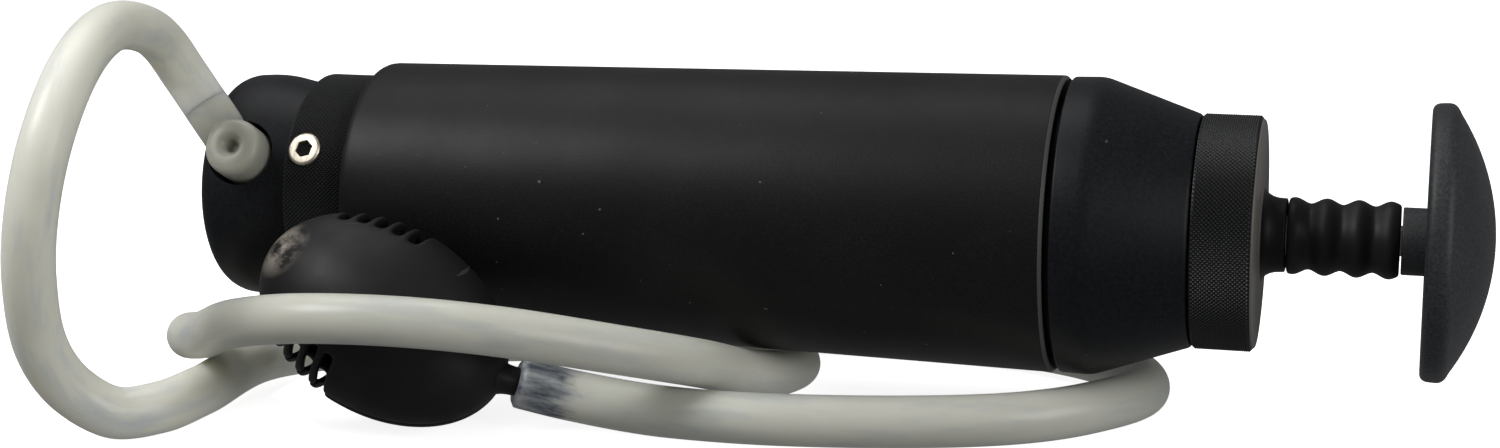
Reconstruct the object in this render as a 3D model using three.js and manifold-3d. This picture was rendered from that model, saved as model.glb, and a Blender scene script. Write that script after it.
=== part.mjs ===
// A hand-pumped water filter for camping, lying on its own intake hose.
// Millimetres. The origin is the centre of the foot's flat end face, +X runs along
// the pump's axis to the handle and +Z is up.

import * as THREE from 'three';
import { mergeVertices } from 'three/addons/utils/BufferGeometryUtils.js';
import Module from 'manifold-3d';

const wasm = await Module();
wasm.setup();

// Clearances
const touchGap = 0.3; // between pieces that touch on the real pump
const runningGap = 0.3; // between pieces that slide or turn in each other

// Foot
const footLength = 20;
const footRadius = 24.1;
const footWaistRadius = 22;
const footFaceRadius = 20;
const footBossRadius = 12.7;
const footBossLength = 6.7;
const footCavityRadius = 5;
const footCavityFloor = 5.5;
const footSealSeat = 3.5; // from the foot's shoulder to its seal
const footSealWire = 0.6;
const footSealGroove = 1.5;

// Base ring
const ringLength = 13;
const ringRadius = 24.7;
const ringChamfer = 0.5;
const ringSpigotLength = 11.5;
const ringSealGroove = 2.2;
const ringSealInset = 8.3; // of the seal from the ring
const ringSealWire = 0.85;
const chamberInset = 3.8; // of the clean water's chamber from the foot's boss
const chamberLength = 4.5;
const chamberWall = 3.8;
const elementSocketWidth = 4.6; // from the barrel to the element's spigot

// Housing
const housingLength = 147;
const housingFootRadius = 27.5;
const housingHeadRadius = 30;
const housingWall = 4; // at its foot end
const housingEdgeRound = 2.2;
const housingEdgeChamfer = 0.8;
const headSocketDepth = 9;
const headSocketWall = 3.5;
const gasketWidth = 0.9;
const gasketThickness = 1;

// Pump head
const headSeam = 1.2;
const headRimLength = 6.2;
const headConeLength = 19.5;
const headNoseRadius = 23.2;
const headSpigotLength = 5.5;
const headSpigotGap = 0.5;
const headSealInset = 3; // of the seal from the head's shoulder
const headSealGroove = 2;
const headSealWire = 0.85;
const headChamberRadius = 20;

// Gland cap
const capLength = 12;
const capRadius = 23.5;
const capChamfer = 0.7;
const capSpigotLength = 12;
const capSpigotRadius = 17.7;
const capSealInset = 1.3; // of the seal from the cap
const capSealOutset = 1.8; // of its ring from the cap's spigot
const capSealWire = 0.8;
const capNeckRadius = 7.35;
const capNeckLength = 5;
const capNeckFillet = 4;
const glandRadius = 8.3;
const glandCover = 4; // the cap's thickness over the gland

// Pump
const barrelBore = 8;
const barrelWall = 2;
const barrelTopInset = 22; // from the barrel's top to the gland cap's flange
const rodRadius = 4;
const rodStudRadius = 2.5;
const pistonLength = 10;
const pistonGap = 0.5; // between the piston and the barrel's bore
const pistonSealGap = 0.25;
const pistonSealInset = 3.2; // from the piston's lower end
const pistonSealWidth = 3.5;
const pistonGroove = 1.6;
const studShoulder = 0.5; // the handle's stud is this much thicker than the piston's
const barrelPortRadius = 1.6;
const barrelPortInset = 3; // from the barrel's top
const cageHoleRadius = 1.3;
const cageHoleInset = 2.6; // of the holes' circle from the barrel's bore
const pistonPortRadius = 0.9;
const pistonPortOutset = 0.4; // of the ports' circle from the rod
const pistonNutLength = 3;
const pistonNutCorners = 4.9;
const intakeLift = 1.5; // of the intake valve's ball
const deliveryLift = 1.2; // of the delivery valve's disc
const springRoom = 3.5; // for an intake spring pressed flat, behind the ball
const discSpringRoom = 4.3;
const discThickness = 1.2;
const discInset = 1.4; // of the disc's rim from the barrel's bore
const retainerInset = 1.6;
const retainerThickness = 1;

// Handle
const bumperRadius = 7.6;
const bumperValleyRadius = 6.6;
const bumperLength = 21.5;
const bumperFirstCrest = 1.1; // from the bumper's inner end
const bumperPitch = 6.15;
const hubRadius = 6.65;
const hubLength = 4.5;
const knobRadius = 27.35;
const knobRimThickness = 4.4;
const knobDomeHeight = 8.7;
const knobSocketDepth = 7; // of the handle's stud

// Filter element
const elementGap = 1.2; // between the element and the housing
const elementWaterGap = 3; // between the element and the barrel
const elementCapThickness = 3;

// Hose and its fittings
const hoseRadius = 5;
const hoseBore = 3.5;
const nozzleBore = 1.5;
const nozzleRadius = 2.6;
const nozzleFlangeRadius = 4.8;
const nozzleFlange = 1.3; // its thickness
const nozzleBarb = 0.5;
const elbowRadius = 6.1;
const elbowTopRadial = 28.6; // distance of the elbow's outer end from the pump's axis
const branchReach = 14; // from the branch's root, inside the elbow, to the hose
const portStation = 9.3; // of the inlet port along the axis
const portAngle = 27; // degrees above horizontal, on the -Y side
const recessRadius = 6.8;
const recessFloorRadial = 15;
const outletFromRing = 4.2; // its station from the ring's outer face
const outletAngle = 29;
const outletRadius = 3.5;
const outletBore = 1.7;
const outletProud = 0.5; // of the ring
const outletSealWire = 0.6;
const outletDepth = 6.1; // of its pocket, into the ring
const passageRadius = 1.4;
const passageRadial = 17;

// Strainer
const strainerLong = 27.3; // half of its length
const strainerWide = 19.4; // half of its width
const strainerThick = 15; // half of its thickness
const strainerWall = 1.8;
const strainerSpigotRadius = 2.8;
const strainerSpigotBore = 1.5;
const strainerSpigotLength = 22; // from the hose's end into the strainer
const slotWidth = 2.2;
const slotPitch = 3.7;
const slotCount = 5;
const slotHalfSpan = 8.5;
const slotFirst = -2.4; // of the slot nearest the hose, from the strainer's middle
const slotDepth = 16; // of the cut, from outside the widest point
const screenRadius = 8.8;
const screenThickness = 0.4;
const screenEnds = [-16, -1];
const ballastRadius = 6.5;
const ballastEnds = [-15, -4];

// The hose's centre line from the elbow to the strainer, as it lies around the pump
const hoseRoute = [
  [0.5, -18, 19.7], [-4, -18, 26], [-5.5, -24, 33.3], [-3.5, -37, 38.3], [-1, -55, 40.2], [2, -74, 34.7],
  [2, -85, 23], [0, -88, 10.1], [-3.5, -84.5, -4.2], [-6, -77, -19.8], [-4, -70, -29.6],
  [2, -65, -34.9], [8, -58.5, -35.2], [10, -44, -35.3], [11, -14, -35.3],
  [30, 3, -35.3], [103, 24, -35.3], [122.5, 11, -35.2], [121.5, -3.5, -34.2],
  [118, -16, -31.1], [113, -30.5, -26], [101, -45, -20.6], [82, -60, -14.6], [64.5, -67, -12.1],
  [44, -67.5, -12.6], [26, -59, -16.6], [10.5, -42, -23.8], [-2.5, -22, -29.5], [4, 3, -34],
  [24, 23, -35.3], [70, 36, -35.3], [150, 43, -35.3], [186, 29, -35.3], [197, 8, -35.3],
  [188, -10, -35.3], [172, -23, -35.3], [134, -34, -35.3], [106, -34.5, -35.3], [87, -35.5, -33],
  [77.5, -40, -29.8],
].map((p) => new THREE.Vector3(...p));
const hosePath = new THREE.CatmullRomCurve3(hoseRoute, false, 'centripetal');
const hoseSides = 8;
const hoseSteps = 80;

// Stations along the axis, from the foot to the handle
const ringStart = footLength + touchGap;
const ringEnd = ringStart + ringLength;
const ringSpigotEnd = ringEnd + ringSpigotLength;
const housingStart = ringEnd + touchGap;
const housingEnd = housingStart + housingLength;
const headStart = housingEnd + headSeam;
const headConeStart = headStart + headRimLength;
const headEnd = headConeStart + headConeLength;
const capStart = headEnd + touchGap;
const capEnd = capStart + capLength;
const capNeckEnd = capEnd + capNeckLength;
const bumperStart = capNeckEnd + touchGap;
const bumperEnd = bumperStart + bumperLength;
const hubStart = bumperEnd + touchGap;
const hubEnd = hubStart + hubLength;
const barrelStart = ringStart + footBossLength + 2 * touchGap;
const barrelEnd = capStart - barrelTopInset;
const outletStation = ringStart + outletFromRing;

// Radii that follow from the sizes above
const housingBore = housingFootRadius - housingWall;
const ringSpigotRadius = housingBore - runningGap;
const elementRadius = housingBore - elementGap;
const barrelRadius = barrelBore + barrelWall;
const elementBore = barrelRadius + elementWaterGap;
const pistonRadius = barrelBore - pistonGap;
const pistonSealRadius = barrelBore - pistonSealGap;
const outletFloor = ringRadius - outletDepth;

const axisX = new THREE.Vector3(1, 0, 0);

// ---- Shapes ----

// A closed geometry with shared corners, without the slivers that close up at a pole
function welded(geometry) {
  const bare = geometry.clone();
  bare.deleteAttribute('normal');
  bare.deleteAttribute('uv');
  const merged = mergeVertices(bare, 1e-4);
  const index = merged.index.array;
  const kept = [];
  for (let i = 0; i < index.length; i += 3) {
    const [a, b, c] = index.slice(i, i + 3);
    if (a !== b && b !== c && c !== a) kept.push(a, b, c);
  }
  merged.setIndex(kept);
  return outward(merged);
}

// Turns the faces round where they point inwards
function outward(geometry) {
  const position = geometry.attributes.position;
  const index = Array.from(geometry.index.array);
  const [a, b, c] = [new THREE.Vector3(), new THREE.Vector3(), new THREE.Vector3()];
  let volume = 0;
  for (let i = 0; i < index.length; i += 3) {
    a.fromBufferAttribute(position, index[i]);
    b.fromBufferAttribute(position, index[i + 1]);
    c.fromBufferAttribute(position, index[i + 2]);
    volume += a.dot(b.cross(c));
  }
  if (volume < 0) {
    for (let i = 0; i < index.length; i += 3) [index[i + 1], index[i + 2]] = [index[i + 2], index[i + 1]];
    geometry.setIndex(index);
  }
  return geometry;
}

function toSolid(geometry) {
  const closed = welded(geometry);
  return new wasm.Manifold(new wasm.Mesh({
    numProp: 3,
    vertProperties: new Float32Array(closed.attributes.position.array),
    triVerts: new Uint32Array(closed.index.array),
  }));
}

function toGeometry(solid) {
  const mesh = solid.getMesh();
  const geometry = new THREE.BufferGeometry();
  geometry.setAttribute('position', new THREE.BufferAttribute(new Float32Array(mesh.vertProperties), 3));
  geometry.setIndex(Array.from(mesh.triVerts));
  return geometry;
}

function cut(geometry, ...tools) {
  return toGeometry(tools.reduce((solid, tool) => solid.subtract(toSolid(tool)), toSolid(geometry)));
}

function join(geometry, ...others) {
  return toGeometry(others.reduce((solid, other) => solid.add(toSolid(other)), toSolid(geometry)));
}

// Turned on the X axis from [station, radius] corners. A ring's profile is closed.
function turned(profile, sides = 24) {
  const corners = profile.map(([x, r]) => new THREE.Vector2(r, x));
  const onAxis = profile[0][1] === 0 && profile[profile.length - 1][1] === 0;
  if (!onAxis) corners.push(corners[0].clone());
  return welded(new THREE.LatheGeometry(corners, sides).rotateZ(-Math.PI / 2));
}

function ring(from, to, inner, outer, sides = 24) {
  return turned([[from, inner], [from, outer], [to, outer], [to, inner]], sides);
}

// Copies on a circle about the X axis
function aroundAxis(count, radius, make) {
  return Array.from({ length: count }, (_, i) => {
    const angle = (i / count) * 2 * Math.PI;
    return make().translate(0, radius * Math.cos(angle), radius * Math.sin(angle));
  });
}

function rod(from, to, radius, sides = 20) {
  return turned([[from, 0], [from, radius], [to, radius], [to, 0]], sides);
}

function oRing(station, meanRadius, wireRadius, sides = 24) {
  return welded(new THREE.TorusGeometry(meanRadius, wireRadius, 5, sides).rotateY(Math.PI / 2)
    .translate(station, 0, 0));
}

// Moves a shape made on the X axis so that its X axis lies along a direction from a point
function aimed(geometry, point, direction) {
  const turn = new THREE.Quaternion().setFromUnitVectors(axisX, direction.clone().normalize());
  return geometry.applyQuaternion(turn).translate(point.x, point.y, point.z);
}

// Points of a quarter round between two corner directions, for a profile
function roundCorner(centre, radius, fromDegrees, toDegrees, steps) {
  return Array.from({ length: steps + 1 }, (_, i) => {
    const angle = THREE.MathUtils.degToRad(fromDegrees + ((toDegrees - fromDegrees) * i) / steps);
    return [centre[0] + radius * Math.cos(angle), centre[1] + radius * Math.sin(angle)];
  });
}

// A hexagon nut on the X axis
function hexNut(from, to, bore, acrossCorners) {
  return cut(rod(from, to, acrossCorners, 6), rod(from - 1, to + 1, bore, 20));
}

// A coil spring on the X axis
function coilSpring(from, to, meanRadius, wireRadius, turns) {
  const points = Array.from({ length: turns * 8 + 1 }, (_, i) => {
    const angle = (i / 8) * 2 * Math.PI;
    const x = from + wireRadius + ((to - from - 2 * wireRadius) * i) / (turns * 8);
    return new THREE.Vector3(x, meanRadius * Math.cos(angle), meanRadius * Math.sin(angle));
  });
  return alongPath(new THREE.CatmullRomCurve3(points), wireRadius, 5, turns * 10);
}

// A round solid along a curve
function alongPath(path, radius, sides, steps) {
  const section = new THREE.Shape(Array.from({ length: sides }, (_, i) => {
    const angle = (i / sides) * 2 * Math.PI;
    return new THREE.Vector2(radius * Math.cos(angle), radius * Math.sin(angle));
  }));
  return welded(new THREE.ExtrudeGeometry(section, { steps, bevelEnabled: false, extrudePath: path }));
}

// ---- Finishes ----

const finish = (color, roughness, metalness = 0) => new THREE.MeshStandardMaterial({ color, roughness, metalness });
const finishes = {
  blackMetal: finish(0x17181a, 0.45, 0.3),
  blackPlastic: finish(0x1c1f23, 0.5),
  knurledMetal: finish(0x111214, 0.4, 0.4),
  blackRubber: finish(0x141416, 0.7),
  silicone: finish(0xd6d8cc, 0.35),
  steel: finish(0xb9b9b4, 0.25, 1),
  paleBrass: finish(0xd8d0bd, 0.3, 0.9),
  ceramic: finish(0xeee9dc, 0.85),
  innerPlastic: finish(0x8d949a, 0.5),
  sealRubber: finish(0x202022, 0.6),
  springSteel: finish(0xa8a8a8, 0.3, 1),
};

const pump = new THREE.Group();

function add(name, geometry, material) {
  const mesh = new THREE.Mesh(geometry, material);
  mesh.name = name;
  pump.add(mesh);
}

// ---- Foot ----

const portDirection = new THREE.Vector3(
  0, -Math.cos(THREE.MathUtils.degToRad(portAngle)), Math.sin(THREE.MathUtils.degToRad(portAngle)));
const portOnAxis = new THREE.Vector3(portStation, 0, 0);
const branchDirection = hosePath.getTangent(0);
const branchRoot = hoseRoute[0].clone().addScaledVector(branchDirection, -branchReach);
const branchLength = branchReach - touchGap;

const fromPort = (geometry) => aimed(geometry, portOnAxis, portDirection);
const fromBranch = (geometry) => aimed(geometry, branchRoot, branchDirection);

const footOuter = [
  [0, 0],
  [0, footFaceRadius],
  [0.7, footFaceRadius + 1.9],
  [2.2, footRadius - 0.9],
  [4.6, footRadius - 0.3],
  [7, footRadius],
  [10, footRadius - 0.3],
  [footLength - 1, footWaistRadius + 0.2],
  [footLength, footWaistRadius],
];
const footSealStation = footLength + footSealSeat;
const footSealFloor = footBossRadius - footSealGroove;
const footBore = [
  [footLength, footBossRadius],
  [footSealStation - footSealWire - touchGap, footBossRadius],
  [footSealStation - footSealWire - touchGap, footSealFloor],
  [footSealStation + footSealWire + touchGap, footSealFloor],
  [footSealStation + footSealWire + touchGap, footBossRadius],
  [footLength + footBossLength, footBossRadius],
  [footLength + footBossLength, footCavityRadius],
  [footCavityFloor, footCavityRadius],
  [footCavityFloor, 0],
];
add('foot', cut(
  turned([...footOuter, ...footBore], 32),
  fromPort(rod(recessFloorRadial, footRadius + 3, recessRadius, 24)),
  fromPort(rod(1, recessFloorRadial + 1, nozzleRadius + touchGap, 12)),
  fromBranch(rod(0, 25, hoseRadius + 2 * touchGap, 20)),
), finishes.blackPlastic);
add('foot_seal', oRing(footSealStation, footSealFloor + footSealWire + 0.35, footSealWire, 24), finishes.sealRubber);

const flangeStart = recessFloorRadial + touchGap;
const flangeEnd = flangeStart + nozzleFlange;
add('inlet_nozzle', fromPort(turned([
  [footCavityRadius + 1, nozzleBore], [footCavityRadius + 1, nozzleRadius], [flangeStart, nozzleRadius],
  [flangeStart, nozzleFlangeRadius], [flangeEnd, nozzleFlangeRadius], [flangeEnd, nozzleRadius],
  [flangeEnd + 2, nozzleRadius + nozzleBarb], [flangeEnd + 2.2, nozzleRadius],
  [flangeEnd + 4, nozzleRadius + nozzleBarb], [flangeEnd + 4.4, nozzleRadius - 0.2],
  [flangeEnd + 4.4, nozzleBore],
], 12)), finishes.paleBrass);

// ---- Elbow of the hose ----

const elbowBase = flangeEnd + touchGap;
const branchInset = 5; // the branch's wall starts this far from its root, inside the elbow's wall
const elbowBody = turned([
  [elbowBase, 0], [elbowBase, elbowRadius], [elbowTopRadial - 2, elbowRadius],
  [elbowTopRadial - 0.7, elbowRadius - 0.6], [elbowTopRadial, elbowRadius - 2],
  [elbowTopRadial, 2.2], [elbowTopRadial - 0.8, 1.7], [elbowTopRadial - 2, 1.2], [elbowTopRadial - 2, 0],
], 20);
add('hose_elbow', cut(
  join(fromPort(elbowBody), fromBranch(rod(branchInset, branchLength, hoseRadius, 16))),
  fromPort(rod(elbowBase - 1, elbowTopRadial - 4, hoseBore, 12)),
  fromBranch(rod(0.5, branchLength + 1, hoseBore - 0.4, 12)),
), finishes.silicone);

// ---- Base ring ----

const ringSeal = { station: ringEnd + ringSealInset, wire: ringSealWire, floor: ringSpigotRadius - ringSealGroove };
const chamberStart = ringStart + footBossLength + chamberInset;
const chamberEnd = chamberStart + chamberLength;
const chamberRadius = ringSpigotRadius - chamberWall;
const elementSpigotBore = barrelRadius + elementSocketWidth;
const outletDirection = new THREE.Vector3(
  0, -Math.cos(THREE.MathUtils.degToRad(outletAngle)), Math.sin(THREE.MathUtils.degToRad(outletAngle)));
const outletOnAxis = new THREE.Vector3(outletStation, 0, 0);
const fromOutlet = (geometry) => aimed(geometry, outletOnAxis, outletDirection);
const passage = rod(outletStation, chamberStart + 1, passageRadius, 10)
  .translate(0, passageRadial * outletDirection.y, passageRadial * outletDirection.z);
const footSocket = footBossRadius + touchGap;

add('base_ring', cut(
  turned([
    [ringStart, footSocket], [ringStart, ringRadius - ringChamfer], [ringStart + ringChamfer, ringRadius],
    [ringEnd - ringChamfer, ringRadius], [ringEnd, ringRadius - ringChamfer], [ringEnd, ringSpigotRadius],
    [ringSeal.station - ringSeal.wire - touchGap, ringSpigotRadius],
    [ringSeal.station - ringSeal.wire - touchGap, ringSeal.floor],
    [ringSeal.station + ringSeal.wire + touchGap, ringSeal.floor],
    [ringSeal.station + ringSeal.wire + touchGap, ringSpigotRadius],
    [ringSpigotEnd, ringSpigotRadius], [ringSpigotEnd, elementSpigotBore],
    [chamberEnd, elementSpigotBore], [chamberEnd, chamberRadius], [chamberStart, chamberRadius],
    [chamberStart, barrelRadius + touchGap],
    [ringStart + footBossLength + touchGap, barrelRadius + touchGap],
    [ringStart + footBossLength + touchGap, footSocket],
  ], 32),
  fromOutlet(rod(outletFloor, ringRadius + 2, outletRadius + touchGap)),
  fromOutlet(rod(passageRadial - 1, outletFloor + 1, outletBore, 10)),
  passage,
), finishes.knurledMetal);
add('base_ring_seal', oRing(ringSeal.station, ringSeal.floor + touchGap + ringSeal.wire, ringSeal.wire),
  finishes.sealRubber);
add('outlet_nozzle', fromOutlet(turned([
  [outletFloor + 2 * outletSealWire + 2 * touchGap, outletBore], [outletFloor + 2 * outletSealWire + 2 * touchGap, outletRadius],
  [ringRadius + outletProud - 0.4, outletRadius], [ringRadius + outletProud, outletRadius - 0.4],
  [ringRadius + outletProud, outletBore],
], 20)), finishes.paleBrass);
add('outlet_seal', fromOutlet(oRing(outletFloor + touchGap + outletSealWire, outletRadius - 0.9, outletSealWire, 16)),
  finishes.sealRubber);

// ---- Intake valve, in the foot of the barrel ----

const seatLength = 5;
const seatStart = barrelStart + touchGap;
const seatEnd = seatStart + seatLength;
const ballRadius = 3.2;
const seatBore = 2.2;
const seatCone = 2;
// The ball rests a touch gap off the 45 degree cone
const ballStation = seatEnd - seatCone - seatBore + Math.SQRT2 * (ballRadius + touchGap);
const cageStart = ballStation + ballRadius + intakeLift + springRoom;
const cageEnd = cageStart + 2;
add('valve_seat', turned([
  [seatStart, seatBore], [seatStart, barrelBore - touchGap], [seatEnd, barrelBore - touchGap],
  [seatEnd, seatBore + seatCone], [seatEnd - seatCone, seatBore],
]), finishes.innerPlastic);
add('intake_valve_ball', welded(new THREE.SphereGeometry(ballRadius, 16, 10).rotateZ(Math.PI / 2)
  .translate(ballStation, 0, 0)), finishes.steel);
add('intake_valve_spring', coilSpring(ballStation + 2.6, cageStart - touchGap, 2.4, 0.3, 3), finishes.springSteel);
const flowHoles = aroundAxis(4, barrelBore - cageHoleInset, () => rod(cageStart - 1, cageEnd + 1, cageHoleRadius, 10));
add('intake_valve_cage', cut(ring(cageStart, cageEnd, 1.2, barrelBore - touchGap), ...flowHoles),
  finishes.innerPlastic);

// ---- Barrel ----

const portHole = rod(-barrelRadius - 2, barrelRadius + 2, barrelPortRadius, 10);
const barrelPorts = [0, 1].map((i) => portHole.clone().rotateZ(Math.PI / 2).rotateX((i * Math.PI) / 2)
  .translate(barrelEnd - barrelPortInset, 0, 0));
add('pump_barrel', cut(ring(barrelStart, barrelEnd, barrelBore, barrelRadius, 32), ...barrelPorts), finishes.steel);

// ---- Filter element ----

const bottomCapStart = ringSpigotEnd + touchGap;
const bottomCapEnd = bottomCapStart + elementCapThickness;
const bottomSpigotStart = chamberEnd + 1.2;
const bottomSpigotRadius = elementSpigotBore - 0.4;
const bottomSeal = { station: bottomSpigotStart + 3.2, wire: 0.7, floor: bottomSpigotRadius - 1.5 };
const nutThickness = 4.5;
const elementNutEnd = barrelEnd - 5.5;
const elementNutStart = elementNutEnd - nutThickness;
const topCapEnd = elementNutStart - touchGap;
const topCapStart = topCapEnd - elementCapThickness - 1;
const elementStart = bottomCapEnd + touchGap;
const elementEnd = topCapStart - touchGap;
const annulusRadius = barrelRadius + 1.5;
add('element_bottom_cap', turned([
  [bottomSpigotStart, annulusRadius], [bottomSpigotStart, bottomSpigotRadius],
  [bottomSeal.station - bottomSeal.wire - touchGap, bottomSpigotRadius],
  [bottomSeal.station - bottomSeal.wire - touchGap, bottomSeal.floor],
  [bottomSeal.station + bottomSeal.wire + touchGap, bottomSeal.floor],
  [bottomSeal.station + bottomSeal.wire + touchGap, bottomSpigotRadius],
  [bottomCapStart, bottomSpigotRadius], [bottomCapStart, elementRadius],
  [bottomCapEnd, elementRadius], [bottomCapEnd, annulusRadius],
], 28), finishes.innerPlastic);
add('element_bottom_seal', oRing(bottomSeal.station, bottomSeal.floor + touchGap + bottomSeal.wire, bottomSeal.wire, 24),
  finishes.sealRubber);
add('ceramic_element', ring(elementStart, elementEnd, elementBore, elementRadius, 32), finishes.ceramic);
const topSeal = { station: (topCapStart + topCapEnd) / 2, wire: 0.8 };
const topSealMean = barrelRadius + touchGap + topSeal.wire;
add('element_top_cap', turned([
  [topCapStart, barrelRadius + touchGap], [topCapStart, elementRadius], [topCapEnd, elementRadius],
  [topCapEnd, barrelRadius + touchGap],
  [topSeal.station + topSeal.wire + touchGap, barrelRadius + touchGap],
  [topSeal.station + topSeal.wire + touchGap, topSealMean + topSeal.wire + touchGap],
  [topSeal.station - topSeal.wire - touchGap, topSealMean + topSeal.wire + touchGap],
  [topSeal.station - topSeal.wire - touchGap, barrelRadius + touchGap],
], 28), finishes.innerPlastic);
add('element_top_seal', oRing(topSeal.station, topSealMean, topSeal.wire, 24), finishes.sealRubber);
add('element_nut', hexNut(elementNutStart, elementNutEnd, barrelRadius + touchGap, barrelRadius + 5), finishes.paleBrass);

// ---- Housing ----

const gasket = { inner: housingBore, outer: housingBore + gasketWidth, thickness: gasketThickness };
const gasketPocket = gasket.outer + touchGap;
const pocketEnd = housingStart + gasket.thickness + 2 * touchGap;
const socketRadius = housingHeadRadius - headSocketWall;
const socketStart = housingEnd - headSocketDepth;
add('housing_tube', turned([
  [housingStart, gasketPocket],
  ...roundCorner([housingStart + housingEdgeRound, housingFootRadius - housingEdgeRound], housingEdgeRound, 180, 90, 3),
  [housingEnd - housingEdgeChamfer, housingHeadRadius], [housingEnd, housingHeadRadius - housingEdgeChamfer],
  [housingEnd, socketRadius], [socketStart, socketRadius], [socketStart, housingBore],
  [pocketEnd, housingBore], [pocketEnd, gasketPocket],
], 40), finishes.blackMetal);
add('housing_gasket', ring(housingStart + touchGap, housingStart + touchGap + gasket.thickness, gasket.inner, gasket.outer, 32),
  finishes.sealRubber);

// ---- Pump head ----

const headSpigotStart = headStart - headSpigotLength;
const headSpigotRadius = socketRadius - headSpigotGap;
const headSeal = { station: headStart - headSealInset, wire: headSealWire, floor: headSpigotRadius - headSealGroove };
const capSocket = capSpigotRadius + runningGap;
const capSeal = { station: headEnd - capSealInset, wire: capSealWire, mean: capSpigotRadius + capSealOutset };
add('pump_head', turned([
  [headSpigotStart, headChamberRadius], [headSpigotStart, headSpigotRadius],
  [headSeal.station - headSeal.wire - touchGap, headSpigotRadius],
  [headSeal.station - headSeal.wire - touchGap, headSeal.floor],
  [headSeal.station + headSeal.wire + touchGap, headSeal.floor],
  [headSeal.station + headSeal.wire + touchGap, headSpigotRadius],
  [headStart, headSpigotRadius], [headStart, housingHeadRadius - 0.5], [headStart + 0.5, housingHeadRadius],
  [headConeStart, housingHeadRadius], [headEnd, headNoseRadius],
  [headEnd, capSeal.mean + capSeal.wire + touchGap],
  [capSeal.station - capSeal.wire - touchGap, capSeal.mean + capSeal.wire + touchGap],
  [capSeal.station - capSeal.wire - touchGap, capSocket],
  [headConeStart + 3, capSocket], [headConeStart + 3, headChamberRadius],
], 32), finishes.blackMetal);
add('head_seal', oRing(headSeal.station, headSeal.floor + touchGap + headSeal.wire, headSeal.wire), finishes.sealRubber);
add('cap_seal', oRing(capSeal.station, capSeal.mean, capSeal.wire), finishes.sealRubber);

// ---- Gland cap ----

const glandFloor = capEnd - glandCover;
const rodBore = rodRadius + runningGap;
add('gland_cap', turned([
  [capStart - capSpigotLength, glandRadius], [capStart - capSpigotLength, capSpigotRadius],
  [capStart, capSpigotRadius], [capStart, capRadius - capChamfer], [capStart + capChamfer, capRadius],
  [capEnd - capChamfer, capRadius], [capEnd, capRadius - capChamfer],
  [capEnd, capNeckRadius + capNeckFillet],
  ...roundCorner([capEnd + capNeckFillet, capNeckRadius + capNeckFillet], capNeckFillet, 180, 270, 3).slice(1),
  [capNeckEnd, capNeckRadius], [capNeckEnd, rodBore], [glandFloor, rodBore], [glandFloor, glandRadius],
], 32), finishes.knurledMetal);
const glandPieces = [
  { name: 'rod_bush', length: 6, material: finishes.paleBrass },
  { name: 'rod_seal', length: 3, material: finishes.sealRubber },
  { name: 'gland_retainer', length: 2.5, material: finishes.innerPlastic },
];
let glandStation = glandFloor - touchGap;
for (const piece of glandPieces) {
  add(piece.name, ring(glandStation - piece.length, glandStation, rodRadius + runningGap, glandRadius - touchGap),
    piece.material);
  glandStation -= piece.length + touchGap;
}

// ---- Piston on its rod ----

const nutStart = cageEnd + 1.5;
const nutEnd = nutStart + pistonNutLength;
const pistonStart = nutEnd + touchGap;
const pistonEnd = pistonStart + pistonLength;
const pistonSealStart = pistonStart + pistonSealInset;
const pistonSealEnd = pistonSealStart + pistonSealWidth;
const grooveRadius = pistonRadius - pistonGroove;
const sealInner = grooveRadius + touchGap;
const discStart = pistonEnd + touchGap;
const discEnd = discStart + discThickness;
const retainerStart = discEnd + deliveryLift + discSpringRoom;
const knobSocketEnd = hubEnd + knobSocketDepth;
const handleStudRadius = rodStudRadius + studShoulder;
add('piston_rod', turned([
  [nutStart - 1, 0], [nutStart - 1, rodStudRadius], [pistonEnd + touchGap, rodStudRadius],
  [pistonEnd + touchGap, rodRadius], [hubStart - touchGap, rodRadius], [hubStart - touchGap, handleStudRadius],
  [knobSocketEnd, handleStudRadius], [knobSocketEnd, 0],
]), finishes.steel);
add('piston_nut', hexNut(nutStart, nutEnd, rodStudRadius + touchGap, pistonNutCorners), finishes.paleBrass);
const pistonPorts = aroundAxis(3, rodRadius + pistonPortOutset, () => rod(pistonStart - 1, pistonEnd + 1, pistonPortRadius, 8));
add('piston_body', cut(turned([
  [pistonStart, rodStudRadius + touchGap], [pistonStart, pistonRadius],
  [pistonSealStart - touchGap, pistonRadius], [pistonSealStart - touchGap, grooveRadius],
  [pistonSealEnd + touchGap, grooveRadius], [pistonSealEnd + touchGap, pistonRadius],
  [pistonEnd, pistonRadius], [pistonEnd, rodStudRadius + touchGap],
]), ...pistonPorts), finishes.innerPlastic);
add('piston_seal', turned([
  [pistonSealStart, sealInner], [pistonSealStart, pistonSealRadius - 0.4], [pistonSealStart + 1, pistonSealRadius],
  [pistonSealEnd, pistonSealRadius], [pistonSealEnd, sealInner],
]), finishes.sealRubber);
add('delivery_valve_disc', ring(discStart, discEnd, rodRadius + runningGap, barrelBore - discInset), finishes.innerPlastic);
add('delivery_valve_spring', coilSpring(discEnd + touchGap, retainerStart - touchGap, rodRadius + 1.2, 0.35, 3), finishes.springSteel);
add('valve_retainer', ring(retainerStart, retainerStart + retainerThickness, rodRadius + touchGap, barrelBore - retainerInset), finishes.steel);

// ---- Handle ----

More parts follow.
